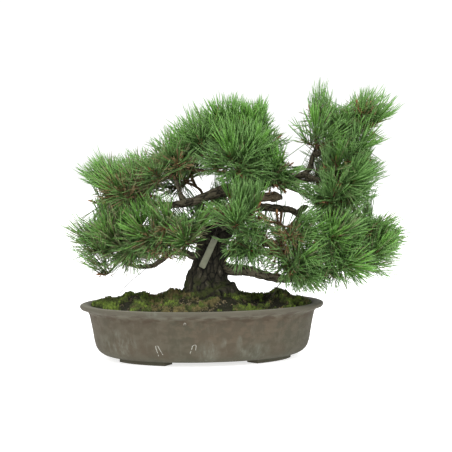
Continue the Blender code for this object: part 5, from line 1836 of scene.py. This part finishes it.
def stage_plane():
    """A wide floor, plain and pale."""
    half = FLOOR_SIZE / 2
    corners = np.array([[-half, -half, 0], [half, -half, 0], [half, half, 0], [-half, half, 0]])
    mesh = mesh_from_arrays("floor", corners, [np.array([[0, 1, 2, 3]])], smooth=False)
    floor = bpy.data.objects.new("floor", mesh)
    bpy.context.scene.collection.objects.link(floor)
    finish, tree, shader = new_finish("floor_white", 0.9, 0.1)
    shader.inputs["Base Color"].default_value = (0.8, 0.8, 0.8, 1.0)
    shader.inputs["Emission Color"].default_value = (1.0, 1.0, 1.0, 1.0)
    shader.inputs["Emission Strength"].default_value = 0.7
    mesh.materials.append(finish)
    floor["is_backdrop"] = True


def make_world():
    """An even white surrounding."""
    world = bpy.data.worlds.new("studio")
    world.use_nodes = True
    world.node_tree.nodes["Background"].inputs[0].default_value = (1.0, 1.0, 1.0, 1.0)
    world.node_tree.nodes["Background"].inputs[1].default_value = 1.08
    bpy.context.scene.world = world


stage_plane()
make_world()
print("floor:", FLOOR_SIZE, "m wide")

# %% Lights


def soft_light(name, place, aim, size, power):
    """A square soft light that points at a place."""
    lamp = bpy.data.lights.new(name, 'AREA')
    lamp.shape = 'SQUARE'
    lamp.size = size
    lamp.energy = power
    holder = bpy.data.objects.new(name, lamp)
    bpy.context.scene.collection.objects.link(holder)
    holder.location = place
    holder.rotation_euler = (Vector(aim) - Vector(place)).to_track_quat('-Z', 'Y').to_euler()


soft_light("overhead", (0.1, -0.9, 2.1), (0.0, 0.0, 0.2), 1.8, 30.0)
soft_light("left_side", (-1.9, -1.4, 0.9), (0.0, 0.0, 0.2), 1.4, 12.0)
soft_light("right_side", (1.8, -1.4, 0.9), (0.0, 0.0, 0.2), 1.4, 9.0)

# %% Camera
EYE_DISTANCE = VIEW_DISTANCE * MM
EYE_ROLL_DEG = -0.4
FRAME_ANGLE_DEG = 14.40


def make_camera():
    """The camera: aimed at a point of the tree's plane, from in front and a little above."""
    lens = bpy.data.cameras.new("camera")
    lens.sensor_width = 36.0
    lens.lens = 18.0 / math.tan(math.radians(FRAME_ANGLE_DEG) / 2)
    lens.clip_start = 0.1
    lens.clip_end = 50.0
    eye = bpy.data.objects.new("camera", lens)
    bpy.context.scene.collection.objects.link(eye)
    rise = math.radians(EYE_RISE_DEG)
    turn = Matrix.Rotation(math.radians(TREE_TURN_DEG), 3, 'Z')
    ahead = turn @ Vector((0.0, math.cos(rise), -math.sin(rise)))
    aim = Vector(to_world((AIM_U, 0.0, AIM_Z)))
    eye.location = aim - ahead * EYE_DISTANCE
    roll = Matrix.Rotation(math.radians(EYE_ROLL_DEG), 3, 'Z')
    eye.rotation_euler = (ahead.to_track_quat('-Z', 'Y').to_matrix() @ roll).to_euler()
    bpy.context.scene.camera = eye


make_camera()
bpy.context.scene.view_settings.view_transform = 'Standard'
print("camera:", round(EYE_DISTANCE, 2), "m away, looking down by", EYE_RISE_DEG, "degrees")

# %% [markdown]
# ## Finish
# The dressed plant's box is measured, and how far it stands proud of the frame's own box is
# printed. The dressed plant has to fit the frame's own box.

visual_low, visual_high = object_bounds()
grown_by = [round((a - b) / MM, 1) for a, b in zip(cad_low, visual_low)]
grown_by += [round((a - b) / MM, 1) for a, b in zip(visual_high, cad_high)]
print("stands proud of the frame by", grown_by, "mm")
